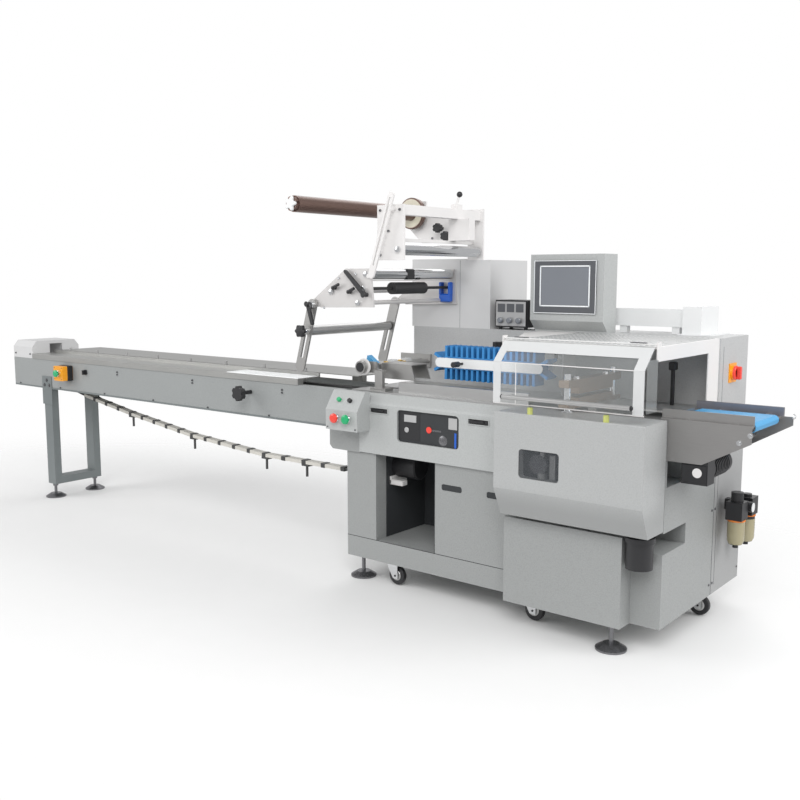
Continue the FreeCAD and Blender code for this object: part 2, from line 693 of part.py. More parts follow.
def brush_loop():
    """The endless brush: a belt round two pulleys with bristle cleats all the way round."""
    z = (BRUSH_Z[0] + BRUSH_Z[1]) / 2
    reach = (BRUSH_Z[1] - BRUSH_Z[0]) / 2
    x0, x1 = BRUSH_X[0] + reach, BRUSH_X[1] - reach
    y0, y1 = LINE_Y - BRUSH_W / 2, LINE_Y + BRUSH_W / 2
    belt = stadium(x0, x1, z, BRUSH_CORE, y0, y1)
    hollow = stadium(x0, x1, z, BRUSH_CORE - BRUSH_BELT, y0 - 1, y1 + 1)
    run, bend = x1 - x0, math.pi * BRUSH_CORE
    loop = 2 * (run + bend)
    cleats = []
    for i in range(CLEATS):
        s = loop * i / CLEATS
        if s < run:
            foot, turn = vec(x0 + s, 0, z + BRUSH_CORE), 0.0
        elif s < run + bend:
            turn = (s - run) / BRUSH_CORE
            foot = vec(x1 + BRUSH_CORE * math.sin(turn), 0, z + BRUSH_CORE * math.cos(turn))
        elif s < 2 * run + bend:
            foot, turn = vec(x1 - (s - run - bend), 0, z - BRUSH_CORE), math.pi
        else:
            turn = math.pi + (s - 2 * run - bend) / BRUSH_CORE
            foot = vec(x0 + BRUSH_CORE * math.sin(turn), 0, z + BRUSH_CORE * math.cos(turn))
        tuft = box(-CLEAT_T / 2, CLEAT_T / 2, y0, y1, -2, reach - BRUSH_CORE)
        tuft.rotate(vec(0, 0, 0), vec(0, 1, 0), math.degrees(turn))
        tuft.translate(foot)
        cleats.append(tuft)
    return belt.cut(hollow).multiFuse(cleats)


def brush_pulleys():
    """The two pulleys inside the brush belt."""
    z = (BRUSH_Z[0] + BRUSH_Z[1]) / 2
    reach = (BRUSH_Z[1] - BRUSH_Z[0]) / 2
    y0, y1 = LINE_Y - BRUSH_W / 2, LINE_Y + BRUSH_W / 2
    r = BRUSH_CORE - BRUSH_BELT
    return group(*[rod(x, y0, z, "y", r, y1 - y0)
                   for x in (BRUSH_X[0] + reach, BRUSH_X[1] - reach)])


def brush_knobs():
    """The star knobs that clamp the brush unit's posts, and the lifting handle."""
    z = (BRUSH_PLATE[2] + BRUSH_PLATE[3]) / 2
    knobs = [fuse(rod(x, 415, z + 12, "z", 7, 36), star(x, 415, z + 48, "z", 24, 20))
             for x in (470.0, 740.0)]
    front = LINE_Y - BRUSH_W / 2 - 3 - SHEET
    lever = fuse(rod(494, front - 30, z, "y", 5, 30), rod(494, front - 62, z, "y", 11, 34))
    return group(*knobs, lever)


def forming_box():
    """The film former: a wall plate, two plough plates and the rods that carry them."""
    deck = DECK_UNDER + DECK_T
    back = box(-67, 99, 440, CAB_D, 863, 919)
    rods = [rod(46, 70, 890, "y", 9, 370), rod(84, 120, 890, "y", 9, 320)]
    front = box(30, 100, 70, 78, 866, 912)
    plough = across([(96, 842), (270, 842), (250, 905), (96, 905)], LINE_Y - 52, LINE_Y - 48)
    plough2 = across([(96, 842), (270, 842), (250, 905), (96, 905)], LINE_Y + 48, LINE_Y + 52)
    roof = box(96, 256, LINE_Y - 52, LINE_Y + 52, 901, 905)
    arm = box(84, 100, LINE_Y - 60, LINE_Y + 60, 880, 900)
    leg = box(112, 152, 46, 62, deck, 880)
    foot = box(92, 172, 40, 90, deck, deck + 12)
    tie = box(90, 152, 62, 78, 868, 880)
    return fuse(back, *rods, front, plough, plough2, roof, arm, leg, foot, tie)


def former_wheel():
    """The small hand wheel at the former's front."""
    return fuse(rod(46, 48, 890, "y", 8, 22), rod(46, 30, 890, "y", 26, 18))


# ---------------------------------------------------------------- discharge conveyor

def discharge_plates():
    """The two side plates with their rising underside."""
    front, back = OUT_Y
    outline = [(CAB_L, OUT_LOW), (OUT_STEP, OUT_LOW), (OUT_X1, OUT_NOSE_Z), (OUT_X1, OUT_TOP),
               (CAB_L, OUT_TOP)]
    rear = [(CAB_L, OUT_LOW), (OUT_STEP, OUT_LOW), (OUT_X1 + 35, OUT_NOSE_Z + 26),
            (OUT_X1 + 35, OUT_TOP + 6), (CAB_L, OUT_TOP + 6)]
    ties = [rod(x, front + SHEET, 735, "y", 8, back - front - SHEET) for x in (1420.0, 1560.0)]
    return fuse(across(outline, front, front + SHEET), across(rear, back, back + SHEET), *ties)


def discharge_belt():
    """The thin belt round its two noses."""
    z = BELT_TOP - BELT_R
    y0, y1 = BELT_Y
    outer = stadium(BELT_X[0], BELT_X[1], z, BELT_R, y0, y1)
    return outer.cut(stadium(BELT_X[0], BELT_X[1], z, BELT_R - BELT_T, y0 - 1, y1 + 1))


def discharge_rollers():
    """The nose and drive rollers, and the slider bed between them."""
    z, r = BELT_TOP - BELT_R, BELT_R - BELT_T
    y0, y1 = BELT_Y
    front, back = OUT_Y
    rolls = [rod(x, y0, z, "y", r, y1 - y0) for x in BELT_X]
    bed = box(BELT_X[0] + r + 4, BELT_X[1] - r - 4, y0, y1, z + r - 5, z + r)
    struts = [rod(x, front + SHEET, z + r - 7, "y", 4, back - front - SHEET)
              for x in (BELT_X[0] + 40, BELT_X[1] - 40)]
    shafts = [rod(x, front + SHEET, z, "y", 6, back - front - SHEET) for x in BELT_X]
    return group(fuse(rolls[0], shafts[0]), fuse(rolls[1], shafts[1]), fuse(bed, *struts))


def discharge_guides():
    """The front lip guide and the tall back guide."""
    front, back = OUT_Y
    t = OUT_TOP
    lip = [(front, t), (front + SHEET, t), (front + SHEET, t + 5), (front + 15, t + 5),
           (front + 15, t + 38), (front + 11, t + 38), (front + 11, t + 9), (front, t + 9)]
    tall = box(CAB_L - 20, OUT_X1 + 6, back, back + SHEET, t + 6, t + 36)
    return group(along(lip, CAB_L - 24, OUT_X1 + 3), tall)


def discharge_motor():
    """The gearhead and motor that hang inside the side plates."""
    x, z, r = MOTOR
    y0 = OUT_Y[0] + SHEET
    head = box(x - r, x + r, y0, y0 + 60, z - r, z + r)
    return fuse(head, rod(x, y0 + 60, z, "y", r - 3, 170), rod(x, y0 + 230, z, "y", r - 10, 12))


# ---------------------------------------------------------------- column and film units

def film_column():
    """The column behind the former, folded at its right edge, with its top rail."""
    x0, x1, top = COLUMN
    body = box(x0, x1, CAB_D, CAB_D + REAR_D + 7, REAR_TOP, top)
    rail = box(x0, 280, CAB_D, CAB_D + 18, top, top + 6)
    return fuse(body, rail)


def lower_film_plates():
    """The front and rear plates of the lower film unit and the bars between them."""
    outline = [(-90, 1161), (95, 1290), (221, 1290), (236, 1142), (-39, 1136)]
    front = across(outline, LOW_PLATE_Y, LOW_PLATE_Y + PLATE)
    rear = across(outline, CAB_D - PLATE, CAB_D)
    y0, y1 = LOW_PLATE_Y + PLATE, CAB_D - PLATE
    flat = box(196, 216, y0, y1, 1242, 1246)
    bar = rod(161, y0, 1158, "y", 9, y1 - y0)
    cross = rod(20, y0, 1200, "y", 9, y1 - y0)
    plates = [front, rear]
    tall = y1 - y0 + 2 * PLATE + 2
    for x, z in (PIVOT, TOP_ROLLER[:2], NIP_ROLLER[:2]):
        r = (PIN_R if (x, z) == PIVOT else JOURNAL_R) + FIT
        hole = rod(x, LOW_PLATE_Y - 1, z, "y", r, tall)
        plates = [p.cut(hole) for p in plates]
    return fuse(plates[0], plates[1], flat, bar, cross)


def roller(x, z, radius, y0, y1):
    """A roller with journals in both plates."""
    drum = rod(x, y0 + CLEAR, z, "y", radius, y1 - y0 - 2 * CLEAR)
    return fuse(drum, rod(x, y0 - PLATE + 2, z, "y", JOURNAL_R, y1 - y0 + 2 * PLATE - 4))


def top_roller():
    """The chrome roller at the top of the lower unit."""
    return roller(*TOP_ROLLER, LOW_PLATE_Y + PLATE, CAB_D - PLATE)


def nip_roller():
    """The rubber roller under it, as short as the film is wide."""
    x, z, radius = NIP_ROLLER
    y0, y1 = LOW_PLATE_Y + PLATE, CAB_D - PLATE
    drum = rod(x, 60, z, "y", radius, 210)
    return fuse(drum, rod(x, y0 - PLATE + 2, z, "y", JOURNAL_R, y1 - y0 + 2 * PLATE - 4))


def dancer_arms():
    """The two slotted arms on their pivot shaft."""
    y_front = LOW_PLATE_Y - CLEAR - ARM_T
    y_rear = CAB_D - PLATE - CLEAR - ARM_T - 20
    arms = []
    for y in (y_front, y_rear):
        arm = slotted(PIVOT, ARM_END, y, ARM_T, ARM_W / 2, 7.0, 130.0)
        arms.append(arm.cut(rod(DANCER_AXIS[0], y - 1, DANCER_AXIS[1], "y",
                                JOURNAL_R + FIT, ARM_T + 2)))
    shaft = rod(PIVOT[0], y_front, PIVOT[1], "y", PIN_R, CAB_D - 2 - y_front)
    return fuse(arms[0], arms[1], shaft)


def dancer_roller():
    """The grey roller that the film's loop hangs in, between the arms."""
    y0 = LOW_PLATE_Y - CLEAR
    y1 = CAB_D - PLATE - CLEAR - ARM_T - 20
    x, z = DANCER_AXIS
    drum = rod(x, y0 + CLEAR, z, "y", DANCER_R, y1 - y0 - 2 * CLEAR)
    return fuse(drum, rod(x, y0 - ARM_T + 1, z, "y", JOURNAL_R, y1 - y0 + 2 * ARM_T - 2))


def slotted_bar():
    """The slanted bar that ties the lower unit's front plate to the upper unit."""
    a, b = (232.0, 1266.0), (330.0, 1560.0)
    bar = slotted(a, b, LOW_PLATE_Y - 8, 8, 14, 4.5, 40.0)
    stud = rod(216, LOW_PLATE_Y - 8, 1262, "y", 8, 8)
    link = rod(318, LOW_PLATE_Y, 1510, "y", 9, UP_PLATE_Y - LOW_PLATE_Y)
    return fuse(bar, stud, link, capsule((216.0, 1262.0), a, LOW_PLATE_Y - 8, 8, 8))


def upper_film_frame():
    """The upper unit: front plate, square tube, rear panel and the film sensor's block."""
    x0, x1 = 311.0, 351.0
    front = box(234, 363, UP_PLATE_Y, UP_PLATE_Y + PLATE, 1321, 1528)
    tube = box(x0, x1, UP_PLATE_Y + PLATE, CAB_D, 1490, 1528)
    rear = across([(-40, 1480), (-40, 1584), (64, 1584), (64, 1537), (363, 1537), (363, COLUMN[2]),
                   (286, COLUMN[2]), (286, 1404), (44, 1404)], CAB_D, CAB_D + 9)
    bar = box(300, 312, UP_PLATE_Y + PLATE, CAB_D, 1392, 1404)
    block = box(301, 404, 290, 330, 1404, 1490)
    cap = box(316, 346, 285, 325, 1528, 1549)
    lever = rod_between((331, 305, 1549), (344, 305, 1586), 5)
    hole = rod(UP_ROLLER[0], UP_PLATE_Y - 1, UP_ROLLER[1], "y", JOURNAL_R + FIT, 600)
    pin = rod(MANDREL[0], CAB_D - 1, MANDREL[1], "y", 12 + FIT, 12)
    front = front.cut(hole)
    rear = cut(rear, hole, pin)
    return fuse(front, tube, rear, bar, block, cap, lever)


def upper_roller():
    """The chrome roller of the upper unit."""
    x, z, radius = UP_ROLLER
    y0, y1 = UP_PLATE_Y + PLATE, CAB_D
    drum = rod(x, y0 + CLEAR, z, "y", radius, y1 - y0 - 2 * CLEAR)
    return fuse(drum, rod(x, y0 - PLATE + 2, z, "y", JOURNAL_R, y1 - y0 + PLATE + 5))


def film_knobs():
    """The clamp levers and star knobs of the film units."""
    levers = [fuse(rod(x, LOW_PLATE_Y - 16, z, "y", 8, 16),
                   rod_between((x, LOW_PLATE_Y - 18, z), (x + 34, LOW_PLATE_Y - 18, z + 14), 6))
              for x, z in ((40.0, 1215.0), (120.0, 1200.0))]
    knobs = [fuse(rod(x, CAB_D - 26, z, "y", 6, 26), star(x, CAB_D - 48, z, "y", 20, 22))
             for x, z in ((155.0, 1465.0), (196.0, 1430.0))]
    return group(*levers, *knobs)


def mandrel_shaft():
    """The reel shaft, with its journal in the bearing and a star end."""
    x, z, r = MANDREL
    y_reel = CAB_D - CLEAR - BEARING_T - REEL_T
    drum = rod(x, MANDREL_Y0 + 14, z, "y", r, y_reel - MANDREL_Y0 - 14)
    tip = star(x, MANDREL_Y0, z, "y", r - 3, 14, 5)
    return fuse(drum, tip, rod(x, y_reel, z, "y", 12, CAB_D + 8 - y_reel))



def reel_disc():
    """The backing disc that the reel is pushed against."""
    x, z, r = MANDREL
    y = CAB_D - CLEAR - BEARING_T - REEL_T
    disc = [(12, 0), (REEL_R - 3, 0), (REEL_R, 3), (REEL_R, REEL_T - 3), (REEL_R - 3, REEL_T),
            (12, REEL_T)]
    face = face_of([vec(x + a, y + b, z) for a, b in disc])
    return face.revolve(vec(x, y, z), vec(0, 1, 0), 360)


def mandrel_bearing():
    """The flanged bearing on the upper unit's rear panel."""
    x, z, _ = MANDREL
    ring = rod(x, CAB_D - BEARING_T, z, "y", BEARING_R, BEARING_T)
    return ring.cut(rod(x, CAB_D - BEARING_T - 1, z, "y", 12 + FIT, BEARING_T + 2))


# ---------------------------------------------------------------- electrical pieces

def hmi_box():
    """The touch panel's housing, chamfered at its foot."""
    y = 430.0
    outline = [(y, 1086), (y + 40, 1046), (y + 40, REAR_TOP), (y + 112, REAR_TOP),
               (y + 112, 1346), (y, 1346)]
    return along(outline, 609, 930)


def hmi_panel():
    """The raised operator panel, with its screen recess."""
    bezel = rounded(629, 901, 1114, 1323, 424, 430, 8)
    return bezel.cut(box(659, 871, 423, 426, 1146, 1298))


def temperature_controller():
    """The free-standing controller case on four feet."""
    case = box(428, 582, 454, 570, REAR_TOP + 10, 1163)
    feet = [rod(x, y, REAR_TOP, "z", 8, 10) for x in (444, 566) for y in (470, 554)]
    return fuse(case, *feet)


def controller_face():
    """The controller's front plate with three display openings."""
    face = box(432, 578, 450, 454, REAR_TOP + 14, 1159)
    for i in range(3):
        x = 442 + 44 * i
        face = face.cut(box(x, x + 36, 449, 452, 1118, 1146))
        face = face.fuse(rod(x + 18, 442, 1080, "y", 8, 8))
    return face


def trunking():
    """The L-shaped cable trunking on top of the rear cabinet."""
    run = box(909, 1192, 585, 625, 1068, 1136)
    feet = [box(x, x + 30, 590, 620, REAR_TOP, 1068) for x in (925.0, 1140.0)]
    block = box(1192, 1265, 560, 736, REAR_TOP + 4, 1147)
    base = box(1180, 1312, 549, 736, REAR_TOP, REAR_TOP + 4)
    return fuse(run, *feet, block, base)


def main_switch():
    """The rotary main switch: plate, boss and knob on the end face."""
    y, z = 575.0, 910.0
    plate = box(CAB_L, CAB_L + 4, y - 35, y + 35, z - 35, z + 35)
    return fuse(plate, rod(CAB_L + 4, y, z, "x", 25, 8))


def switch_knob():
    """The main switch's turning handle."""
    y, z = 575.0, 910.0
    return fuse(rod(CAB_L + 12, y, z, "x", 18, 8), box(CAB_L + 12, CAB_L + 34, y - 6, y + 6,
                                                       z - 22, z + 22))


def air_unit():
    """The filter regulator and lubricator heads, with the gauge and adjusting knob."""
    y = (520.0, 630.0)
    arm = box(CAB_L, 1424, y[0] + 40, y[1] - 40, 400, 440)
    heads = [box(1412, 1472, c - 32, c + 32, 380, 446) for c in y]
    link = box(1424, 1460, y[0] + 32, y[1] - 32, 400, 436)
    knob = rod(1442, y[0], 446, "z", 22, 35)
    gauge = rod(1460, 577, 418, "x", 20, 22)
    cap = rod(1442, y[1], 446, "z", 16, 10)
    return fuse(arm, *heads, link, knob, gauge, cap)


def air_bowls():
    """The two clear bowls under the heads."""
    bowls = []
    for y, z0 in ((520.0, 273.0), (630.0, 262.0)):
        shape = [(0, z0), (10, z0), (10, z0 + 10), (24, z0 + 14), (30, z0 + 28), (30, 380), (0, 380)]
        face = face_of([vec(1442 + r, y, z) for r, z in shape])
        bowls.append(face.revolve(vec(1442, y, 0), vec(0, 0, 1), 360))
    return group(*bowls)


# ---------------------------------------------------------------- feet and castors

def levelling_feet():
    """The four feet that carry the cabinet."""
    return group(*[rubber_foot(x, y, LEVEL_R, CAB_BOTTOM) for x, y in LEVEL_FEET])


def castor_fork(x, y):
    """A swivel fork; its stem turns in the cabinet's floor."""
    z = WHEEL_LIFT + WHEEL_R
    inner, t = WHEEL_W / 2 + 5, 4.0
    plate_z = CAB_BOTTOM - 8
    stem = rod(x, y, plate_z, "z", PIN_R, 36)
    plate = rod(x, y, plate_z, "z", 24, 6)
    back = x + TRAIL
    web = box(x - 20, back + 12, y - inner - t, y + inner + t, plate_z - 5, plate_z)
    cheeks = []
    for side in (y - inner - t, y + inner):
        outline = [(back - 12, z - 12), (back + 12, z - 12), (back + 12, plate_z),
                   (x - 16, plate_z), (x - 16, plate_z - 14)]
        cheeks.append(across(outline, side, side + t))
    fork = fuse(stem, plate, web, *cheeks)
    return fork.cut(rod(back, y - 30, z, "y", AXLE_R + FIT, 60))


def castor_wheel(x, y):
    """A castor wheel with its axle."""
    z = WHEEL_LIFT + WHEEL_R
    half, w = WHEEL_W / 2, 3.0
    tread = [(0, -half), (WHEEL_R - w, -half), (WHEEL_R, -half + w), (WHEEL_R, half - w),
             (WHEEL_R - w, half), (0, half)]
    face = face_of([vec(x + TRAIL + r, y + t, z) for r, t in tread])
    wheel = face.revolve(vec(x + TRAIL, y, z), vec(0, 1, 0), 360)
    reach = half + 5 + 6
    return fuse(wheel, rod(x + TRAIL, y - reach, z, "y", AXLE_R, 2 * reach))


# ---------------------------------------------------------------- assembly

def small_button(x):
    """A push button square to the control box's slanted plate."""
    slant = math.atan2(75.0, 50.0)
    way = vec(0, -math.sin(slant), math.cos(slant))
    return Part.makeCylinder(9, 12, vec(x, -65, 761.5), way)


def nodes():
    """Every node of the wrapper by name, in the working frame."""
    parts = {
        "infeed_front_panel": side_panel(INFEED_Y0, 1),
        "infeed_rear_panel": fuse(side_panel(rear_face(), -1), *cross_ties().Solids),
        "infeed_front_table": fuse(front_table(), product_guide()),
        "infeed_rear_table": rear_table(),
        "infeed_tail_hood": tail_hood(),
        "infeed_leg_frame": leg_frame(),
        "infeed_chain": group(infeed_chain(), *chain_wheels().Solids),
        "chain_pushers": chain_pushers(),
        "start_station": fuse(start_station(), station_cover()),
        "control_box": control_box(),
        "start_buttons": group(mushroom(-2076, INFEED_Y0 - 63, 734), mushroom(84, -90, 692),
                               small_button(20.0)),
        "stop_button": mushroom(22, -90, 692),
        "side_knobs": group(*side_knobs().Solids, small_button(78.0)),
        "transition_panel": transition_panel(),
        "cabinet_body": fuse(cabinet_body(), cabinet_plinth(), seal_lower_cabinet()),
        "cabinet_front_cover": front_cover(),
        "cabinet_windows": cover_window(),
        "cabinet_lower_panel": lower_panel(),
        "deck_plate": fuse(deck_plate(), *forming_bed().Solids),
        "rear_cabinet": rear_cabinet(),
        "film_column": film_column(),
        "seal_box": seal_box(),
        "seal_motor": seal_motor(),
        "jaw_posts": jaw_posts(),
        "upper_jaw": upper_jaw(),
        "lower_jaw": lower_jaw(),
        "guard_hood": guard_hood(),
        "guard_handle": guard_handle(),
        "guard_frame": fuse(guard_frame(), perforated_cover()),
        "brush_frame": fuse(brush_frame(), *brush_pulleys().Solids),
        "brush_loop": brush_loop(),
        "film_former": fuse(forming_box(), former_wheel()),
        "discharge_plates": fuse(discharge_plates(), *discharge_rollers().Solids,
                                 *discharge_guides().Solids),
        "discharge_belt": discharge_belt(),
        "discharge_motor": discharge_motor(),
        "lower_film_plates": lower_film_plates(),
        "film_top_roller": top_roller(),
        "film_nip_roller": nip_roller(),
        "dancer_arms": dancer_arms(),
        "dancer_roller": dancer_roller(),
        "upper_film_frame": fuse(upper_film_frame(), mandrel_bearing(), slotted_bar()),
        "film_upper_roller": upper_roller(),
        "clamp_knobs": group(*film_knobs().Solids, *brush_knobs().Solids),
        "mandrel_shaft": fuse(mandrel_shaft(), reel_disc()),
        "hmi_box": hmi_box(),
        "hmi_panel": hmi_panel(),
        "temperature_controller": fuse(temperature_controller(), controller_face()),
        "cable_trunking": trunking(),
        "main_switch": fuse(main_switch(), switch_knob()),
        "air_unit": fuse(air_unit(), *air_bowls().Solids),
        "levelling_feet": group(*levelling_feet().Solids, *infeed_feet().Solids),
    }
    for i, (x, y) in enumerate(CASTORS, 1):
        parts[f"castor_fork_{i}"] = castor_fork(x, y)
        parts[f"castor_wheel_{i}"] = castor_wheel(x, y)
    return parts


def origin_of(parts):
    """The middle of the bounding box's floor, which becomes the part's origin."""
    bound = FreeCAD.BoundBox()
    for shape in parts.values():
        bound.add(shape.BoundBox)
    return vec((bound.XMin + bound.XMax) / 2, (bound.YMin + bound.YMax) / 2, bound.ZMin)


def main():
    """Build every node, move the origin and write the STEP files."""
    parts = nodes()
    origin = origin_of(parts)
    os.makedirs("parts", exist_ok=True)
    for name, shape in parts.items():
        shape.translate(-origin)
        shape.exportStep(f"parts/{name}.step")
        print(name, len(shape.Solids), len(shape.Faces), shape.isValid(), round(shape.Volume))
    print("origin", origin, "nodes", len(parts))


if __name__ == "__main__":
    main()
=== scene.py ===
import logging
import math
from dataclasses import dataclass
from enum import Enum
from typing import Iterable, Sequence, Union

import bmesh
import bpy
import numpy as np
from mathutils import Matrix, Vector


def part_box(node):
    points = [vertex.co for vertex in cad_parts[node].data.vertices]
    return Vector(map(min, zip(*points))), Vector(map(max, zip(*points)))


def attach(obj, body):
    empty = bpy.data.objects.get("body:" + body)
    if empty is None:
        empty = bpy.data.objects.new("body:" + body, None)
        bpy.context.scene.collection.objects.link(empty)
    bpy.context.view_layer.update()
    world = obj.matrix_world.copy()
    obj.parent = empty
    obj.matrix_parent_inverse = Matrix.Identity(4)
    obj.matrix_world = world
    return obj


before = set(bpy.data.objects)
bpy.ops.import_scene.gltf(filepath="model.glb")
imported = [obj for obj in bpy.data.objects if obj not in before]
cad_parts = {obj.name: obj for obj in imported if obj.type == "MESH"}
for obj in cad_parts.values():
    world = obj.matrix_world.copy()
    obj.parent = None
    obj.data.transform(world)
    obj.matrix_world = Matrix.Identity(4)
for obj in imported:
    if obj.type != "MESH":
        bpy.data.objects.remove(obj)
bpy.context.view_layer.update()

LOG = logging.getLogger("flow_wrapper")
MM = 0.001
Colour = tuple[float, float, float]
Point = tuple[float, float, float]


class Axis(Enum):
    """The direction a turned piece points along."""

    X = 0
    Y = 1
    Z = 2


class Signal:
    """A number socket that takes part in plain arithmetic."""

    def __init__(self, graph: "Graph", socket: bpy.types.NodeSocket) -> None:
        """Wrap a socket of a graph."""
        self.graph = graph
        self.socket = socket

    def _math(self, operation: str, first: object, second: object) -> "Signal":
        """Add one Math node and give its result."""
        return self.graph.node("ShaderNodeMath", {"operation": operation}, {0: first, 1: second})

    def __add__(self, other: object) -> "Signal":
        """Sum."""
        return self._math("ADD", self, other)

    def __radd__(self, other: object) -> "Signal":
        """Sum, reflected."""
        return self._math("ADD", other, self)

    def __sub__(self, other: object) -> "Signal":
        """Difference."""
        return self._math("SUBTRACT", self, other)

    def __rsub__(self, other: object) -> "Signal":
        """Difference, reflected."""
        return self._math("SUBTRACT", other, self)

    def __mul__(self, other: object) -> "Signal":
        """Product."""
        return self._math("MULTIPLY", self, other)

    def __rmul__(self, other: object) -> "Signal":
        """Product, reflected."""
        return self._math("MULTIPLY", other, self)


class Graph:
    """A material's node tree with one Principled surface."""

    def __init__(self, name: str) -> None:
        """Start an empty material.

        Args:
            name: The material's name.
        """
        self.material = bpy.data.materials.new(name)
        self.material.use_nodes = True
        self.tree = self.material.node_tree
        self.tree.nodes.clear()
        self.surface = self.tree.nodes.new("ShaderNodeBsdfPrincipled")
        output = self.tree.nodes.new("ShaderNodeOutputMaterial")
        self.tree.links.new(self.surface.outputs[0], output.inputs[0])
        self.place = self.tree.nodes.new("ShaderNodeTexCoord").outputs["Object"]

    def node(self, kind: str, settings: dict, inputs: dict, output: Union[int, str] = 0) -> Signal:
        """Add a node.

        Args:
            kind: Blender's node type.
            settings: Attributes that are set first.
            inputs: Values or links by socket.
            output: The socket to give back.

        Returns:
            The chosen output as a signal.
        """
        made = self.tree.nodes.new(kind)
        for key, value in settings.items():
            setattr(made, key, value)
        for key, value in inputs.items():
            self.feed(made.inputs[key], value)
        return Signal(self, made.outputs[output])

    def feed(self, socket: bpy.types.NodeSocket, value: object) -> None:
        """Link a signal or set a constant on a socket."""
        if isinstance(value, Signal):
            self.tree.links.new(value.socket, socket)
        elif isinstance(value, bpy.types.NodeSocket):
            self.tree.links.new(value, socket)
        elif isinstance(value, (tuple, list)) and len(value) == 3 and socket.type == "RGBA":
            socket.default_value = (*value, 1.0)
        else:
            socket.default_value = value

    def set(self, **values: object) -> None:
        """Feed named sockets of the Principled surface; an underscore stands for a space."""
        for key, value in values.items():
            self.feed(self.surface.inputs[key.replace("_", " ")], value)

    def noise(self, scale: float, detail: float = 2.0, stretch: Point = (1, 1, 1)) -> Signal:
        """Fractal noise over the object's own coordinates."""
        where = self.node("ShaderNodeMapping", {}, {"Vector": self.place, "Scale": stretch})
        return self.node("ShaderNodeTexNoise", {}, {"Vector": where, "Scale": scale,
                                                    "Detail": detail})

    def cells(self, scale: float) -> Signal:
        """Soft round cells, as a hammered enamel has."""
        return self.node("ShaderNodeTexVoronoi", {"feature": "SMOOTH_F1"},
                         {"Vector": self.place, "Scale": scale, "Smoothness": 0.8})

    def blend(self, factor: object, first: object, second: object) -> Signal:
        """A colour between two."""
        return self.node("ShaderNodeMix", {"data_type": "RGBA"},
                         {"Factor": factor, 6: first, 7: second}, 2)

    def bump(self, height: Signal, strength: float, distance: float) -> Signal:
        """A normal from a height."""
        return self.node("ShaderNodeBump", {}, {"Height": height, "Strength": strength,
                                                "Distance": distance})


def shade(colour: Colour, by: float) -> Colour:
    """A colour made lighter or darker by a factor."""
    return tuple(min(1.0, c * by) for c in colour)


@dataclass(frozen=True)
class Finish:
    """A satin surface with faint mottling; the base of the other finishes."""

    name: str
    colour: Colour
    roughness: float = 0.45
    metallic: float = 0.0
    mottle: float = 0.05
    coat: float = 0.0
    alpha: float = 1.0
    # emission strength: painted light for parts that are no lamp
    painted_glow: float = 0.0

    def build(self) -> bpy.types.Material:
        """Make the material once and give it back after that."""
        found = bpy.data.materials.get(self.name)
        if found is not None and found.get("own"):
            return found
        graph = Graph(self.name)
        graph.material["own"] = True
        graph.set(Metallic=self.metallic, Coat_Weight=self.coat, Alpha=self.alpha)
        self.dress(graph)
        return graph.material

    def dress(self, graph: Graph) -> None:
        """Drive colour and roughness by soft noise."""
        patch = graph.noise(9.0, 3.0)
        tone = graph.blend(patch, shade(self.colour, 1 - self.mottle),
                           shade(self.colour, 1 + self.mottle))
        fine = graph.noise(420.0, 2.0)
        graph.set(Base_Color=tone, Roughness=fine * 0.12 + (self.roughness - 0.06),
                  Normal=graph.bump(fine, 0.08, 0.0004))
        # painted light: the colour shines by itself though the part is no lamp
        if self.painted_glow > 0:
            graph.set(Emission_Color=tone, Emission_Strength=self.painted_glow)


@dataclass(frozen=True)
class Hammered(Finish):
    """Hammered enamel: shallow round dimples with painted shade in each; low is a painted-shade
    tone that the colour darkens to below the reach of heights.
    """

    size: float = 230.0
    depth: float = 0.35
    # low and reach paint shade: lower faces get less light, so the colour darkens towards low below
    # the reach
    low: float = 1.0
    reach: tuple[float, float] = (0.45, 0.95)

    def dress(self, graph: Graph) -> None:
        """Dimple the surface with painted shade in each dimple, and below the reach darken it
        towards low as painted shade.
        """
        cell = graph.cells(self.size)
        patch = graph.noise(3.0, 3.0)
        base = graph.blend(patch, shade(self.colour, 1 - self.mottle),
                           shade(self.colour, 1 + self.mottle))
        # painted shade: each dimple darkens towards 0.8 of the colour
        tone = graph.blend(cell * 0.8, base, shade(self.colour, 0.8))
        # painted shade: darker towards the bottom, below the reach of heights
        if self.low < 1.0:
            height = graph.node("ShaderNodeSeparateXYZ", {}, {0: graph.place}, Axis.Z.value)
            share = graph.node("ShaderNodeMapRange", {"interpolation_type": "SMOOTHSTEP"},
                               {"Value": height, "From Min": self.reach[0],
                                "From Max": self.reach[1]})
            tone = graph.blend(share, shade(self.colour, self.low), tone)
        graph.set(Base_Color=tone, Roughness=cell * 0.25 + (self.roughness - 0.08),
                  Normal=graph.bump(cell, self.depth, 0.0012))


@dataclass(frozen=True)
class Brushed(Finish):
    """Brushed metal, with its grain along one axis."""

    grain: Point = (1.0, 40.0, 40.0)

    def dress(self, graph: Graph) -> None:
        """Streak roughness and colour along the grain."""
        streak = graph.noise(24.0, 4.0, self.grain)
        patch = graph.noise(5.0, 2.0)
        tone = graph.blend(streak * 0.6 + patch * 0.4, shade(self.colour, 1 - 2 * self.mottle),
                           shade(self.colour, 1 + 2 * self.mottle))
        graph.set(Base_Color=tone, Roughness=streak * 0.2 + (self.roughness - 0.1),
                  Normal=graph.bump(streak, 0.05, 0.0005))


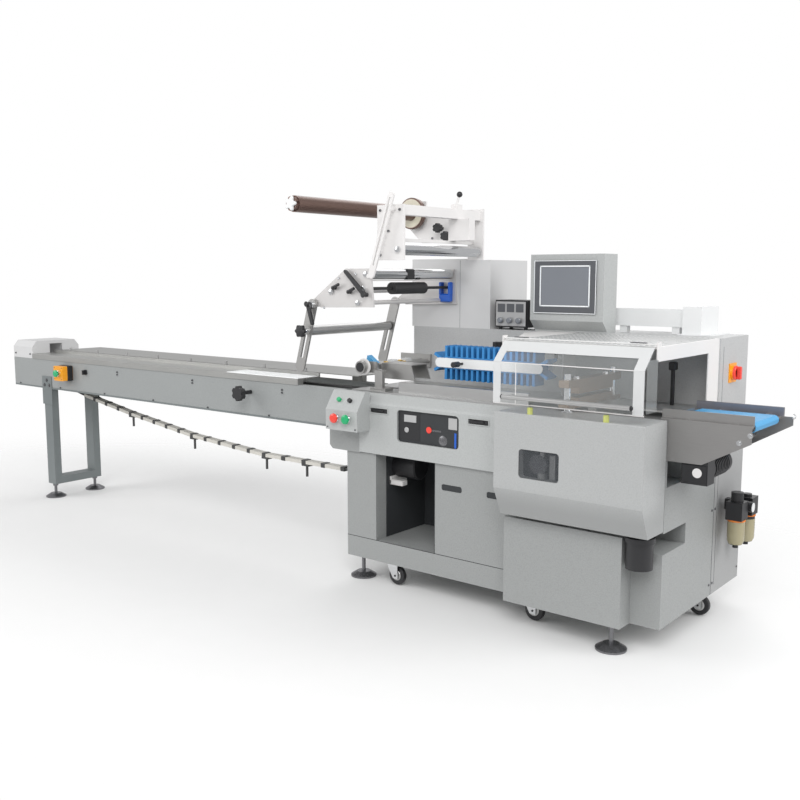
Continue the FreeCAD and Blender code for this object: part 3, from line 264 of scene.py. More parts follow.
@dataclass(frozen=True)
class Striped(Finish):
    """Fine ribs across one axis, such as bristles or a ridged profile."""

    pitch: float = 0.004
    along: Axis = Axis.X
    depth: float = 0.5

    def dress(self, graph: Graph) -> None:
        """Ribs from a sine of the distance along the axis, with painted shade in the grooves and
        painted highlight on the crests.
        """
        parts = graph.node("ShaderNodeSeparateXYZ", {}, {0: graph.place}, self.along.value)
        wave = graph.node("ShaderNodeMath", {"operation": "SINE"},
                          {0: parts * (2 * math.pi / self.pitch)})
        rib = wave * 0.5 + 0.5
        jitter = graph.noise(300.0, 2.0, (1.0, 1.0, 0.1))
        # painted shade in the grooves and painted highlight on the crests, mixed half and half with
        # random tone
        tone = graph.blend(rib * 0.5 + jitter * 0.5, shade(self.colour, 0.7),
                           shade(self.colour, 1.2))
        graph.set(Base_Color=tone, Roughness=rib * 0.1 + (self.roughness - 0.05),
                  Normal=graph.bump(rib, self.depth, self.pitch * 0.2))


@dataclass(frozen=True)
class Faded(Finish):
    """A floor that thins out with distance, so the background takes over."""

    near: float = 1.0
    far: float = 2.4
    squash: Point = (0.55, 1.0, 1.0)

    def dress(self, graph: Graph) -> None:
        """Drop the alpha between two distances from the middle."""
        super().dress(graph)
        where = graph.node("ShaderNodeMapping", {}, {"Vector": graph.place, "Scale": self.squash})
        away = graph.node("ShaderNodeVectorMath", {"operation": "LENGTH"}, {0: where}, "Value")
        ramp = graph.node("ShaderNodeMapRange", {"interpolation_type": "SMOOTHSTEP"},
                          {"Value": away, "From Min": self.near, "From Max": self.far,
                           "To Min": 1.0, "To Max": 0.0})
        graph.set(Alpha=ramp)


class Look:
    """Every finish on the machine."""

    PANEL = Hammered("panel_grey", (0.33, 0.345, 0.343), 0.42, 0.0, 0.04)
    # painted shade: a darker copy of the cabinet grey for the lower faces, which get less light
    # than the cover
    BODY_PAINTED_SHADE = Hammered("cabinet_grey", (0.33, 0.34, 0.337), 0.42, 0.0, 0.03)
    COVER = Hammered("cabinet_light_grey", (0.47, 0.485, 0.48), 0.42, 0.0, 0.03)
    # painted shade: the rear cabinet and the seal box darken towards the bottom, where less light
    # falls
    REAR_PAINTED_SHADE = Hammered("rear_cabinet_grey", (0.5, 0.505, 0.505), 0.42, 0.0, 0.03, low=0.66)
    SEAL_PAINTED_SHADE = Hammered("seal_light_grey", (0.45, 0.46, 0.458), 0.4, 0.0, 0.03, low=0.72,
                    reach=(0.47, 0.56))
    COLUMN = Finish("column_grey", (0.62, 0.62, 0.62), 0.45, 0.0, 0.03)
    LEG = Finish("leg_grey", (0.17, 0.19, 0.192), 0.4, 0.0, 0.06)
    STEEL = Brushed("brushed_stainless", (0.5, 0.5, 0.495), 0.34, 0.85, 0.07)
    TABLE = Brushed("table_stainless", (0.43, 0.43, 0.415), 0.36, 0.8, 0.08)
    SIDE = Brushed("discharge_stainless", (0.37, 0.362, 0.355), 0.34, 0.85, 0.08)
    PLATE = Brushed("film_plate_steel", (0.4, 0.395, 0.385), 0.36, 0.75, 0.06, grain=(40, 40, 1.0))
    LIGHT = Finish("light_plate", (0.6, 0.585, 0.575), 0.4, 0.25, 0.03)
    PALE = Finish("pale_plate_enamel", (0.76, 0.745, 0.735), 0.4, 0.0, 0.02, 0.15)
    CHROME = Finish("bright_chrome", (0.68, 0.69, 0.7), 0.14, 1.0, 0.03)
    DARK_CHROME = Finish("dark_steel", (0.2, 0.2, 0.21), 0.28, 0.9, 0.08)
    WHITE = Finish("white_enamel", (0.78, 0.79, 0.79), 0.35, 0.0, 0.02, 0.2)
    BLACK = Finish("black_moulding", (0.018, 0.018, 0.02), 0.4, 0.0, 0.1)
    # painted shade for hollows seen from outside (the open bay, behind the windows, the finger
    # slots), and the dark seams between panels
    SHADE_AND_SEAMS = Finish("painted_shade_and_seams", (0.03, 0.033, 0.036), 0.7, 0.0, 0.2)
    RUBBER = Finish("black_rubber", (0.022, 0.022, 0.023), 0.65, 0.0, 0.15)
    YELLOW = Finish("yellow_moulding", (0.92, 0.37, 0.01), 0.35, 0.0, 0.03, 0.3)
    GREEN = Finish("green_button", (0.01, 0.4, 0.15), 0.28, 0.0, 0.03, 0.4)
    RED = Finish("red_button", (0.85, 0.06, 0.04), 0.28, 0.0, 0.03, 0.4)
    BRISTLE = Striped("blue_bristle", (0.03, 0.21, 0.5), 0.6, 0.0, pitch=0.0022, along=Axis.Y)
    BELT = Striped("blue_belt", (0.08, 0.36, 0.66), 0.5, 0.0, pitch=0.0012, depth=0.15)
    RIDGED = Striped("ridged_aluminium", (0.6, 0.61, 0.61), 0.35, 0.7, pitch=0.009, along=Axis.Y)
    BRONZE = Brushed("dark_anodised", (0.15, 0.095, 0.078), 0.3, 0.6, 0.1, grain=(40, 1.0, 40))
    JAW = Brushed("heat_tinted_steel", (0.33, 0.25, 0.19), 0.4, 0.8, 0.12)
    CHAIN = Finish("chain_steel", (0.09, 0.09, 0.09), 0.4, 0.7, 0.2)
    SLAT = Finish("white_slat", (0.62, 0.6, 0.55), 0.45, 0.0, 0.06)
    ACRYLIC = Finish("clear_acrylic", (0.86, 0.9, 0.9), 0.06, 0.0, 0.01, 0.5, alpha=0.1)
    BOX = Finish("milky_block", (0.75, 0.77, 0.78), 0.2, 0.0, 0.02, 0.3, alpha=0.65)
    SMOKED = Finish("smoked_window", (0.1, 0.11, 0.12), 0.08, 0.0, 0.05, 0.5, alpha=0.3)
    BEZEL = Finish("panel_dark_grey", (0.1, 0.105, 0.115), 0.4, 0.0, 0.04)
    SCREEN = Finish("screen_glass", (0.2, 0.215, 0.24), 0.15, 0.0, 0.02, 0.6)
    # painted light: the rims round the screen shine by themselves though they are no lamp
    LINE_PAINTED_LIGHT = Finish("screen_line_painted_light", (0.8, 0.82, 0.83), 0.4, 0.0, 0.01, painted_glow=0.15)
    SILVER = Finish("silver_face", (0.5, 0.5, 0.5), 0.4, 0.4, 0.04)
    BLUE = Finish("blue_casting", (0.01, 0.11, 0.55), 0.35, 0.0, 0.05, 0.3)
    BRASS = Finish("brass", (0.6, 0.4, 0.12), 0.3, 0.9, 0.06)
    BOWL = Finish("amber_bowl", (0.5, 0.45, 0.28), 0.15, 0.0, 0.05, 0.5, alpha=0.75)
    SLATE = Brushed("slate_guide", (0.3, 0.3, 0.34), 0.35, 0.7, 0.08)


class Shape:
    """Points and faces that grow piece by piece, in metres."""

    def __init__(self) -> None:
        """Start with nothing."""
        self.points: list[np.ndarray] = []
        self.faces: list[tuple[int, ...]] = []
        self.count = 0

    def add(self, points: np.ndarray, faces: Iterable[Sequence[int]]) -> "Shape":
        """Add points with faces numbered from their own start."""
        self.points.append(np.asarray(points, float))
        self.faces += [tuple(i + self.count for i in face) for face in faces]
        self.count += len(points)
        return self

    def sweep(self, rings: np.ndarray, closed: bool = False) -> "Shape":
        """Join rings of points into a skin.

        Args:
            rings: Points by ring, by place on the ring, by coordinate.
            closed: Whether the last ring meets the first; else both ends are capped.

        Returns:
            This shape.
        """
        count, around = rings.shape[:2]
        faces = []
        for i in range(count if closed else count - 1):
            after = (i + 1) % count
            for j in range(around):
                k = (j + 1) % around
                faces.append((i * around + j, i * around + k, after * around + k,
                              after * around + j))
        if not closed:
            faces.append(tuple(range(around - 1, -1, -1)))
            faces.append(tuple((count - 1) * around + j for j in range(around)))
        return self.add(rings.reshape(-1, 3), faces)

    def lathe(self, foot: Point, axis: Axis, profile: Sequence[tuple[float, float]],
              sides: int = 32, sign: int = 1) -> "Shape":
        """Turn a profile of (distance along the axis, radius) about an axis.

        Args:
            foot: Where the distance is zero.
            axis: The turning axis.
            profile: The outline from one end to the other.
            sides: How many flats go round; six makes a hexagon.
            sign: Which way along the axis the distance runs.

        Returns:
            This shape.
        """
        turn = np.linspace(0, 2 * math.pi, sides, endpoint=False) * sign
        rings = []
        for reach, radius in profile:
            radius = max(radius, 1e-5)
            flat = np.stack([np.full(sides, reach * sign), radius * np.cos(turn),
                             radius * np.sin(turn)], 1)
            rings.append(np.roll(flat, axis.value, axis=1) + np.array(foot))
        return self.sweep(np.array(rings))

    def block(self, low: Point, high: Point, bevel: float = 0.0) -> "Shape":
        """A block with chamfered upright and level edges."""
        low, high = np.array(low, float), np.array(high, float)
        b = min(bevel, float((high - low).min()) / 2.01)
        rings = []
        for inset, z in ((b, low[2]), (0, low[2] + b), (0, high[2] - b), (b, high[2])):
            if b == 0 and (len(rings) in (1, 2)) and inset == 0 and z in (low[2], high[2]):
                pass
            x0, y0, x1, y1 = low[0] + inset, low[1] + inset, high[0] - inset, high[1] - inset
            c = b * 0.6
            ring = [(x0 + c, y0), (x1 - c, y0), (x1, y0 + c), (x1, y1 - c), (x1 - c, y1),
                    (x0 + c, y1), (x0, y1 - c), (x0, y0 + c)]
            rings.append([(x, y, z) for x, y in ring])
        return self.sweep(np.array(rings))

    def outline(self, points: Sequence[tuple[float, float]], axis: Axis, start: float,
                stop: float) -> "Shape":
        """An outline pushed along an axis; its points are the other two coordinates in order."""
        rings = []
        for place in (start, stop):
            ring = [list(p) for p in points]
            for p in ring:
                p.insert(axis.value, place)
            rings.append(ring)
        return self.sweep(np.array(rings, float))

    def make(self, name: str, finish: Finish, body: str, slot: str,
             smooth: bool = True) -> bpy.types.Object:
        """Turn the shape into a piece of the machine.

        Args:
            name: The piece's name.
            finish: Its surface.
            body: The CAD body it rides on.
            slot: The record's material slot it stands for; not used.
            smooth: Whether gentle angles are shaded smooth.

        Returns:
            The new object.
        """
        mesh = bpy.data.meshes.new(name)
        points = np.concatenate(self.points)
        mesh.from_pydata(points.tolist(), [], self.faces)
        mesh.validate()
        made = bpy.data.objects.new(name, mesh)
        bpy.context.scene.collection.objects.link(made)
        mesh.materials.append(finish.build())
        orient(mesh)
        if smooth:
            soften(mesh)
        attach(made, body)
        LOG.info("%s: %d faces", name, len(mesh.polygons))
        return made


def orient(mesh: bpy.types.Mesh) -> None:
    """Turn every face outwards."""
    work = bmesh.new()
    work.from_mesh(mesh)
    bmesh.ops.recalc_face_normals(work, faces=work.faces)
    work.to_mesh(mesh)
    work.free()


def soften(mesh: bpy.types.Mesh, limit: float = 32.0) -> None:
    """Shade smooth with sharp edges kept where faces meet at more than the limit, in degrees."""
    mesh.polygons.foreach_set("use_smooth", np.ones(len(mesh.polygons), bool))
    mesh.set_sharp_from_angle(angle=math.radians(limit))


def at(x: float, y: float, z: float) -> Point:
    """A place in metres from the cabinet's infeed face, front and floor, in millimetres."""
    return (Frame.X0 + x * MM, Frame.Y0 + y * MM, z * MM)


class Frame:
    """Where the cabinet's infeed face and front plane lie in the row's frame."""

    X0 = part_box("cabinet_body")[0].x
    Y0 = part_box("cabinet_lower_panel")[0].y


def low_high(node: str) -> tuple[np.ndarray, np.ndarray]:
    """A CAD node's box corners, in millimetres from the cabinet's corner."""
    shift = np.array([Frame.X0, Frame.Y0, 0.0])
    low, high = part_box(node)
    return (np.array(low) - shift) / MM, (np.array(high) - shift) / MM


def hex_bolt(shape: Shape, x: float, y: float, z: float, axis: Axis = Axis.Y, sign: int = -1,
             across: float = 13.0, high: float = 5.5) -> Shape:
    """A washer and a chamfered hexagon head; place in millimetres, head towards sign."""
    r = across / 2 / math.cos(math.pi / 6) * MM
    h = high * MM
    foot = at(x, y, z)
    shape.lathe(foot, axis, [(0, 0), (0, r * 1.35), (0.0012, r * 1.35), (0.0012, 0)], 24, sign)
    return shape.lathe(foot, axis, [(0.001, 0), (0.001, r), (h * 0.85, r), (h, r * 0.86),
                                    (h, 0)], 6, sign)


def cap_screw(shape: Shape, x: float, y: float, z: float, axis: Axis = Axis.Y, sign: int = -1,
              radius: float = 5.0, high: float = 5.0) -> Shape:
    """A socket-head screw with its hexagon recess."""
    r, h = radius * MM, high * MM
    foot = at(x, y, z)
    profile = [(0, 0), (0, r), (h * 0.85, r), (h, r * 0.9), (h, r * 0.55), (h * 0.45, r * 0.5),
               (h * 0.45, 0)]
    return shape.lathe(foot, axis, profile, 18, sign)


NODE_FINISH: dict[str, Finish] = {
    "infeed_front_panel": Look.PANEL, "infeed_rear_panel": Look.PANEL,
    "infeed_front_table": Look.TABLE, "infeed_rear_table": Look.TABLE,
    "infeed_tail_hood": Look.COLUMN, "infeed_leg_frame": Look.LEG, "infeed_chain": Look.CHAIN,
    "chain_pushers": Look.STEEL, "start_station": Look.YELLOW, "control_box": Look.COVER,
    "start_buttons": Look.GREEN, "stop_button": Look.RED, "side_knobs": Look.BLACK,
    "transition_panel": Look.BODY_PAINTED_SHADE, "cabinet_body": Look.BODY_PAINTED_SHADE,
    "cabinet_front_cover": Look.COVER, "cabinet_windows": Look.SMOKED,
    "cabinet_lower_panel": Look.BODY_PAINTED_SHADE, "deck_plate": Look.STEEL, "rear_cabinet": Look.REAR_PAINTED_SHADE,
    "film_column": Look.COLUMN, "seal_box": Look.SEAL_PAINTED_SHADE, "seal_motor": Look.BLACK,
    "jaw_posts": Look.CHROME, "upper_jaw": Look.JAW, "lower_jaw": Look.JAW,
    "guard_hood": Look.ACRYLIC, "guard_handle": Look.STEEL, "guard_frame": Look.PALE,
    "brush_frame": Look.WHITE, "brush_loop": Look.BRISTLE, "film_former": Look.PLATE,
    "discharge_plates": Look.SIDE, "discharge_belt": Look.BELT, "discharge_motor": Look.BLACK,
    "lower_film_plates": Look.LIGHT, "film_top_roller": Look.CHROME,
    "film_nip_roller": Look.RUBBER, "dancer_arms": Look.PLATE, "dancer_roller": Look.STEEL,
    "upper_film_frame": Look.PALE, "film_upper_roller": Look.CHROME, "clamp_knobs": Look.BLACK,
    "mandrel_shaft": Look.BRONZE, "hmi_box": Look.COVER, "hmi_panel": Look.BEZEL,
    "temperature_controller": Look.BLACK, "cable_trunking": Look.WHITE,
    "main_switch": Look.YELLOW, "air_unit": Look.BLACK, "levelling_feet": Look.DARK_CHROME,
}


def dress_nodes() -> None:
    """Give every CAD node its finish."""
    for name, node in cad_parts.items():
        if name.startswith("castor_fork"):
            finish = Look.CHROME
        elif name.startswith("castor_wheel"):
            finish = Look.BLACK
        else:
            finish = NODE_FINISH[name]
        material = finish.build()
        for held in node.material_slots:
            held.material = material


@dataclass
class Infeed:
    """The long pusher conveyor."""

    bolt_x: tuple[float, ...] = (-1619.0, -1009.0, -394.0)
    bolt_z: tuple[float, ...] = (765.0, 752.0)
    ridge_x: tuple[float, float] = (-760.0, -295.0)
    route: tuple[tuple[float, float], ...] = (
        (-2146.0, 591.0), (-1704.0, 522.0), (-1190.0, 457.0), (-660.0, 421.0), (-394.0, 420.0),
        (-155.0, 419.0))
    slat_pitch: float = 90.0

    def build(self) -> None:
        """Bolts, ridged end profile, slats and the panel's dark lower flange."""
        panel = low_high("infeed_front_panel")
        face = panel[0][1]
        bolts = Shape()
        for x in self.bolt_x:
            for z in self.bolt_z:
                cap_screw(bolts, x, face, z, radius=4.5)
        for x in np.arange(panel[0][0] + 60, panel[1][0], 420.0):
            cap_screw(bolts, float(x), face, panel[0][2] + 14, radius=4)
        legs = low_high("infeed_leg_frame")
        middle = (legs[0][0] + legs[1][0]) / 2
        for dx, dz in ((-24.0, 20.0), (24.0, 20.0), (0.0, 48.0)):
            hex_bolt(bolts, middle + dx, legs[0][1], panel[0][2] + dz)
        bolts.make("infeed_bolts", Look.DARK_CHROME, "machine", "chrome")
        edge = Shape()
        edge.block(at(panel[0][0] + 4, face - 1.2, panel[0][2]),
                   at(panel[1][0], face + 0.4, panel[0][2] + 9), 0.0005)
        edge.make("infeed_lower_edge", Look.LEG, "machine", "dark_grey")
        self.ridged_end()
        self.slats()
        self.hood()

    def ridged_end(self) -> None:
        """The lighter ridged profile at the table's downstream end."""
        low, high = low_high("infeed_front_table")
        x0, x1 = self.ridge_x
        ridges = Shape()
        y0, top = low[1] + 4, high[2] - 15
        count = 14
        pitch = (high[1] - 10 - y0) / count
        outline = [(at(0, y0, 0)[1], at(0, 0, top - 0.5)[2])]
        for i in range(count):
            y = y0 + pitch * i
            outline += [(at(0, y + 1, 0)[1], (top + 2.2) * MM),
                        (at(0, y + pitch * 0.6, 0)[1], (top + 2.2) * MM),
                        (at(0, y + pitch * 0.75, 0)[1], (top + 0.6) * MM),
                        (at(0, y + pitch, 0)[1], (top + 0.6) * MM)]
        outline.append((at(0, high[1] - 10, 0)[1], (top - 0.5) * MM))
        ridges.outline(outline, Axis.X, at(x0, 0, 0)[0], at(x1, 0, 0)[0])
        ridges.make("table_ridged_end", Look.RIDGED, "machine", "stainless", False)

    def slats(self) -> None:
        """White slat segments between the black link blocks of the return run."""
        slats, links = Shape(), Shape()
        y = (low_high("infeed_chain")[0][1] + low_high("infeed_chain")[1][1]) / 2
        for (x0, z0), (x1, z1) in zip(self.route, self.route[1:]):
            length = math.hypot(x1 - x0, z1 - z0)
            way = ((x1 - x0) / length, (z1 - z0) / length)
            count = max(1, int(length // self.slat_pitch))
            for i in range(count):
                a = (i + 0.08) * length / count
                b = (i + 0.86) * length / count
                for shape, start, stop, half in ((slats, a, b, 8.0), (links, b + 2, a + length
                                                                     / count - 2, 10.0)):
                    p = (x0 + way[0] * start, z0 + way[1] * start)
                    q = (x0 + way[0] * stop, z0 + way[1] * stop)
                    n = (-way[1] * half, way[0] * half)
                    ring = [(p[0] + n[0], p[1] + n[1]), (q[0] + n[0], q[1] + n[1]),
                            (q[0] - n[0], q[1] - n[1]), (p[0] - n[0], p[1] - n[1])]
                    ring = [(at(u, 0, 0)[0], v * MM) for u, v in ring]
                    shape.outline(ring, Axis.Y, at(0, y - 19, 0)[1], at(0, y + 19, 0)[1])
        slats.make("chain_slats", Look.SLAT, "machine", "chain_steel", False)
        links.make("chain_link_blocks", Look.CHAIN, "machine", "chain_steel", False)

    def hood(self) -> None:
        """The tail hood's screws."""
        low, high = low_high("infeed_tail_hood")
        screws = Shape()
        for x in (low[0] + 24, high[0] - 24):
            cap_screw(screws, x, low[1], low[2] + 24, radius=4.5)
        screws.make("tail_hood_screws", Look.DARK_CHROME, "machine", "chrome")


@dataclass
class Controls:
    """Push-button stations on the operator's side."""

    def build(self) -> None:
        """Button collars, the station's black base and its screws."""
        rings, dark = Shape(), Shape()
        station = low_high("start_station")
        collar = [(0, 0), (0, 0.0165), (0.006, 0.0165), (0.0075, 0.0145), (0.0075, 0)]
        rings.lathe(at(-2076, station[0][1], 734), Axis.Y, collar, 32, -1)
        face = low_high("control_box")[0][1]
        for x in (22.0, 84.0):
            rings.lathe(at(x, face, 692), Axis.Y, collar, 32, -1)
        rings.make("button_collars", Look.CHROME, "machine", "chrome")
        dark.block(at(station[0][0] - 2, station[1][1] - 34, station[0][2] - 2),
                   at(station[1][0] + 2, station[1][1] - 0.2, station[1][2] + 2), 0.004)
        dark.make("station_base", Look.BLACK, "machine", "black_plastic")
        screws = Shape()
        for x in (station[0][0] + 9, station[1][0] - 9):
            for z in (station[0][2] + 9, station[1][2] - 9):
                cap_screw(screws, x, station[0][1], z, radius=2.6, high=1.6)
        low, high = low_high("control_box")
        for x in (low[0] + 10, high[0] - 10):
            cap_screw(screws, x, face, low[2] + 10, radius=3.4, high=2.6)
        screws.make("station_screws", Look.DARK_CHROME, "machine", "chrome")


@dataclass
class Cabinet:
    """The main and rear cabinets."""

    latch_x: tuple[float, ...] = (138.0, 617.0)
    latch_z: float = 717.0
    latch_size: tuple[float, float] = (90.0, 19.0)

    def build(self) -> None:
        """Seams, latches, the bay's painted shade, the window's gearbox and the end face's doors.
        """
        self.latches()
        self.seams()
        self.bay()
        self.gearbox()
        self.end_face()

    def latches(self) -> None:
        """A black rim and a lever in each latch pocket."""
        face = low_high("cabinet_front_cover")[0][1]
        wide, high = self.latch_size
        body = Shape()
        for x in self.latch_x:
            z = self.latch_z
            body.block(at(x + 3, face + 3, z + 2), at(x + wide - 3, face + 9, z + high - 2), 0.001)
            body.block(at(x + 20, face - 0.5, z + 5), at(x + wide - 20, face + 4, z + high - 5),
                       0.001)
        body.make("cover_latches", Look.BLACK, "machine", "black_plastic")

    def seams(self) -> None:
        """Thin shadow gaps round the lift-off panels."""
        low, high = low_high("cabinet_lower_panel")
        gaps = Shape()
        y = low[1]
        for x in (low[0], high[0]):
            gaps.block(at(x - 1.2, y - 0.35, low[2]), at(x + 1.2, y + 0.3, high[2]))
        gaps.block(at(0, y - 0.35, low[2] - 1.2), at(high[0], y + 0.3, low[2] + 1.2))
        cover = low_high("cabinet_front_cover")
        gaps.block(at(cover[0][0], y - 0.35, cover[0][2] - 2), at(cover[1][0], y + 0.3,
                                                                  cover[0][2] - 0.4))
        gaps.make("panel_gaps", Look.SHADE_AND_SEAMS, "machine", "black_plastic", False)
        slots = Shape()
        for x in (486.0, 693.0):
            slots.block(at(x + 1, y + 1.7, 444), at(x + 94, y + 2.4, 467))
        slots.make("finger_slot_shadow", Look.SHADE_AND_SEAMS, "machine", "black_plastic", False)

    def bay(self) -> None:
        """The open bay's back and side wall in painted shade, with a drive motor and its pale
        bracket near the top.
        """
        bay_shade = Shape()
        # painted shade: near-black sheets on the bay's back and side wall, where shade falls
        bay_shade.block(at(158, 324, 187), at(452, 328, 543))
        bay_shade.block(at(157, 64, 187.5), at(159, 326, 543))
        bay_shade.make("bay_painted_shade", Look.SHADE_AND_SEAMS, "machine", "black_plastic", False)
        motor = Shape()
        motor.lathe(at(159, 150, 480), Axis.X, [(0, 0), (0, 0.052), (0.11, 0.052), (0.115, 0.046),
                                                (0.115, 0)], 36)
        motor.make("bay_motor", Look.BLACK, "machine", "black_plastic")
        bracket = Shape()
        bracket.block(at(159, 84, 405), at(226, 118, 428), 0.003)
        bracket.block(at(159, 84, 405), at(167, 190, 440), 0.002)
        bracket.make("bay_bracket", Look.PALE, "machine", "white_paint")

    def gearbox(self) -> None:
        """What shows in the cover's window: painted shade behind, a dark case, a ball lever, a
        casting and a hose.
        """
        face = low_high("cabinet_lower_panel")[0][1]
        # painted shade: a near-black sheet standing in for the shaded interior behind the window
        back = Shape()
        back.block(at(276, face - 3.5, 613), at(572, face - 2.6, 738))
        back.make("window_painted_shade", Look.SHADE_AND_SEAMS, "machine", "black_plastic", False)
        case = Shape()
        case.block(at(280, face - 4.4, 622), at(384, face - 3.4, 736), 0.0004)
        case.make("window_case", Look.BLACK, "machine", "black_plastic")
        ball = Shape()
        ball.lathe(at(428, face - 3, 672), Axis.Y,
                   [(0, 0), (0, 0.009), (0.001, 0.0125), (0.003, 0.0125), (0.0035, 0)], 32, -1)
        ball.make("window_lever_ball", Look.RED, "machine", "red")
        plate = Shape()
        plate.block(at(306, face - 5.2, 694), at(366, face - 4.3, 722), 0.0002)
        plate.lathe(at(318, face - 4.3, 662), Axis.Y, [(0, 0), (0, 0.011), (0.001, 0.01),
                                                       (0.001, 0)], 24, -1)
        plate.block(at(520, face - 4.4, 684), at(560, face - 3.4, 728), 0.0004)
        plate.make("window_plates", Look.SILVER, "machine", "stainless")
        casting = Shape()
        casting.lathe(at(494, face - 3.4, 636), Axis.Y, [(0, 0), (0, 0.02), (0.001, 0.018),
                                                         (0.001, 0)], 40, -1)
        casting.block(at(440, face - 4.2, 668), at(486, face - 3.4, 675), 0.0002)
        casting.make("window_casting", Look.DARK_CHROME, "machine", "chrome")
        hose = Shape()
        hose.block(at(548, face - 4.6, 614), at(557, face - 3.4, 672), 0.0004)
        hose.make("window_hose", Look.BLUE, "machine", "black_plastic")

    def end_face(self) -> None:
        """Door seams and screws on the downstream end, and the rear doors' seams."""
        high = low_high("cabinet_body")[1]
        rear = low_high("rear_cabinet")
        x, y = high[0], high[1]
        gaps = Shape()
        gaps.block(at(x - 0.3, y - 1.2, 100), at(x + 0.4, y + 1.2, 787))
        gaps.block(at(x - 0.3, y + 30, 130), at(x + 0.4, y + 31.5, 1010))
        back = rear[1][1]
        for place in (rear[0][0] + 30, (rear[0][0] + rear[1][0]) / 2, rear[1][0] - 30):
            gaps.block(at(place - 1, back - 0.3, 130), at(place + 1, back + 0.4, 1010))
        for z in (130, 1010):
            gaps.block(at(rear[0][0] + 30, back - 0.3, z - 1), at(rear[1][0] - 30, back + 0.4,
                                                                  z + 1))
        gaps.make("door_gaps", Look.SHADE_AND_SEAMS, "machine", "black_plastic", False)
        screws = Shape()
        for yy in (y - 20, y + 12, rear[1][1] - 14):
            for z in (140.0, 420.0, 700.0):
                cap_screw(screws, x, yy, z, Axis.X, 1, radius=4.5, high=3)
        screws.make("end_face_screws", Look.DARK_CHROME, "machine", "chrome")
        locks = Shape()
        for place in ((rear[0][0] + rear[1][0]) / 2 + s for s in (-36, 36)):
            locks.lathe(at(place, back, 580), Axis.Y,
                        [(0, 0), (0, 0.014), (0.006, 0.014), (0.008, 0.011), (0.008, 0)], 28, 1)
        locks.make("rear_door_locks", Look.BLACK, "machine", "black_plastic")
        # painted shade: a thin dark strip down the column's front face at its fold
        lip = Shape()
        top = low_high("film_column")
        lip.block(at(248, top[0][1] - 0.4, top[0][2]), at(249.5, top[0][1] + 0.3, top[1][2] - 6))
        lip.make("column_fold", Look.LEG, "machine", "dark_grey", False)


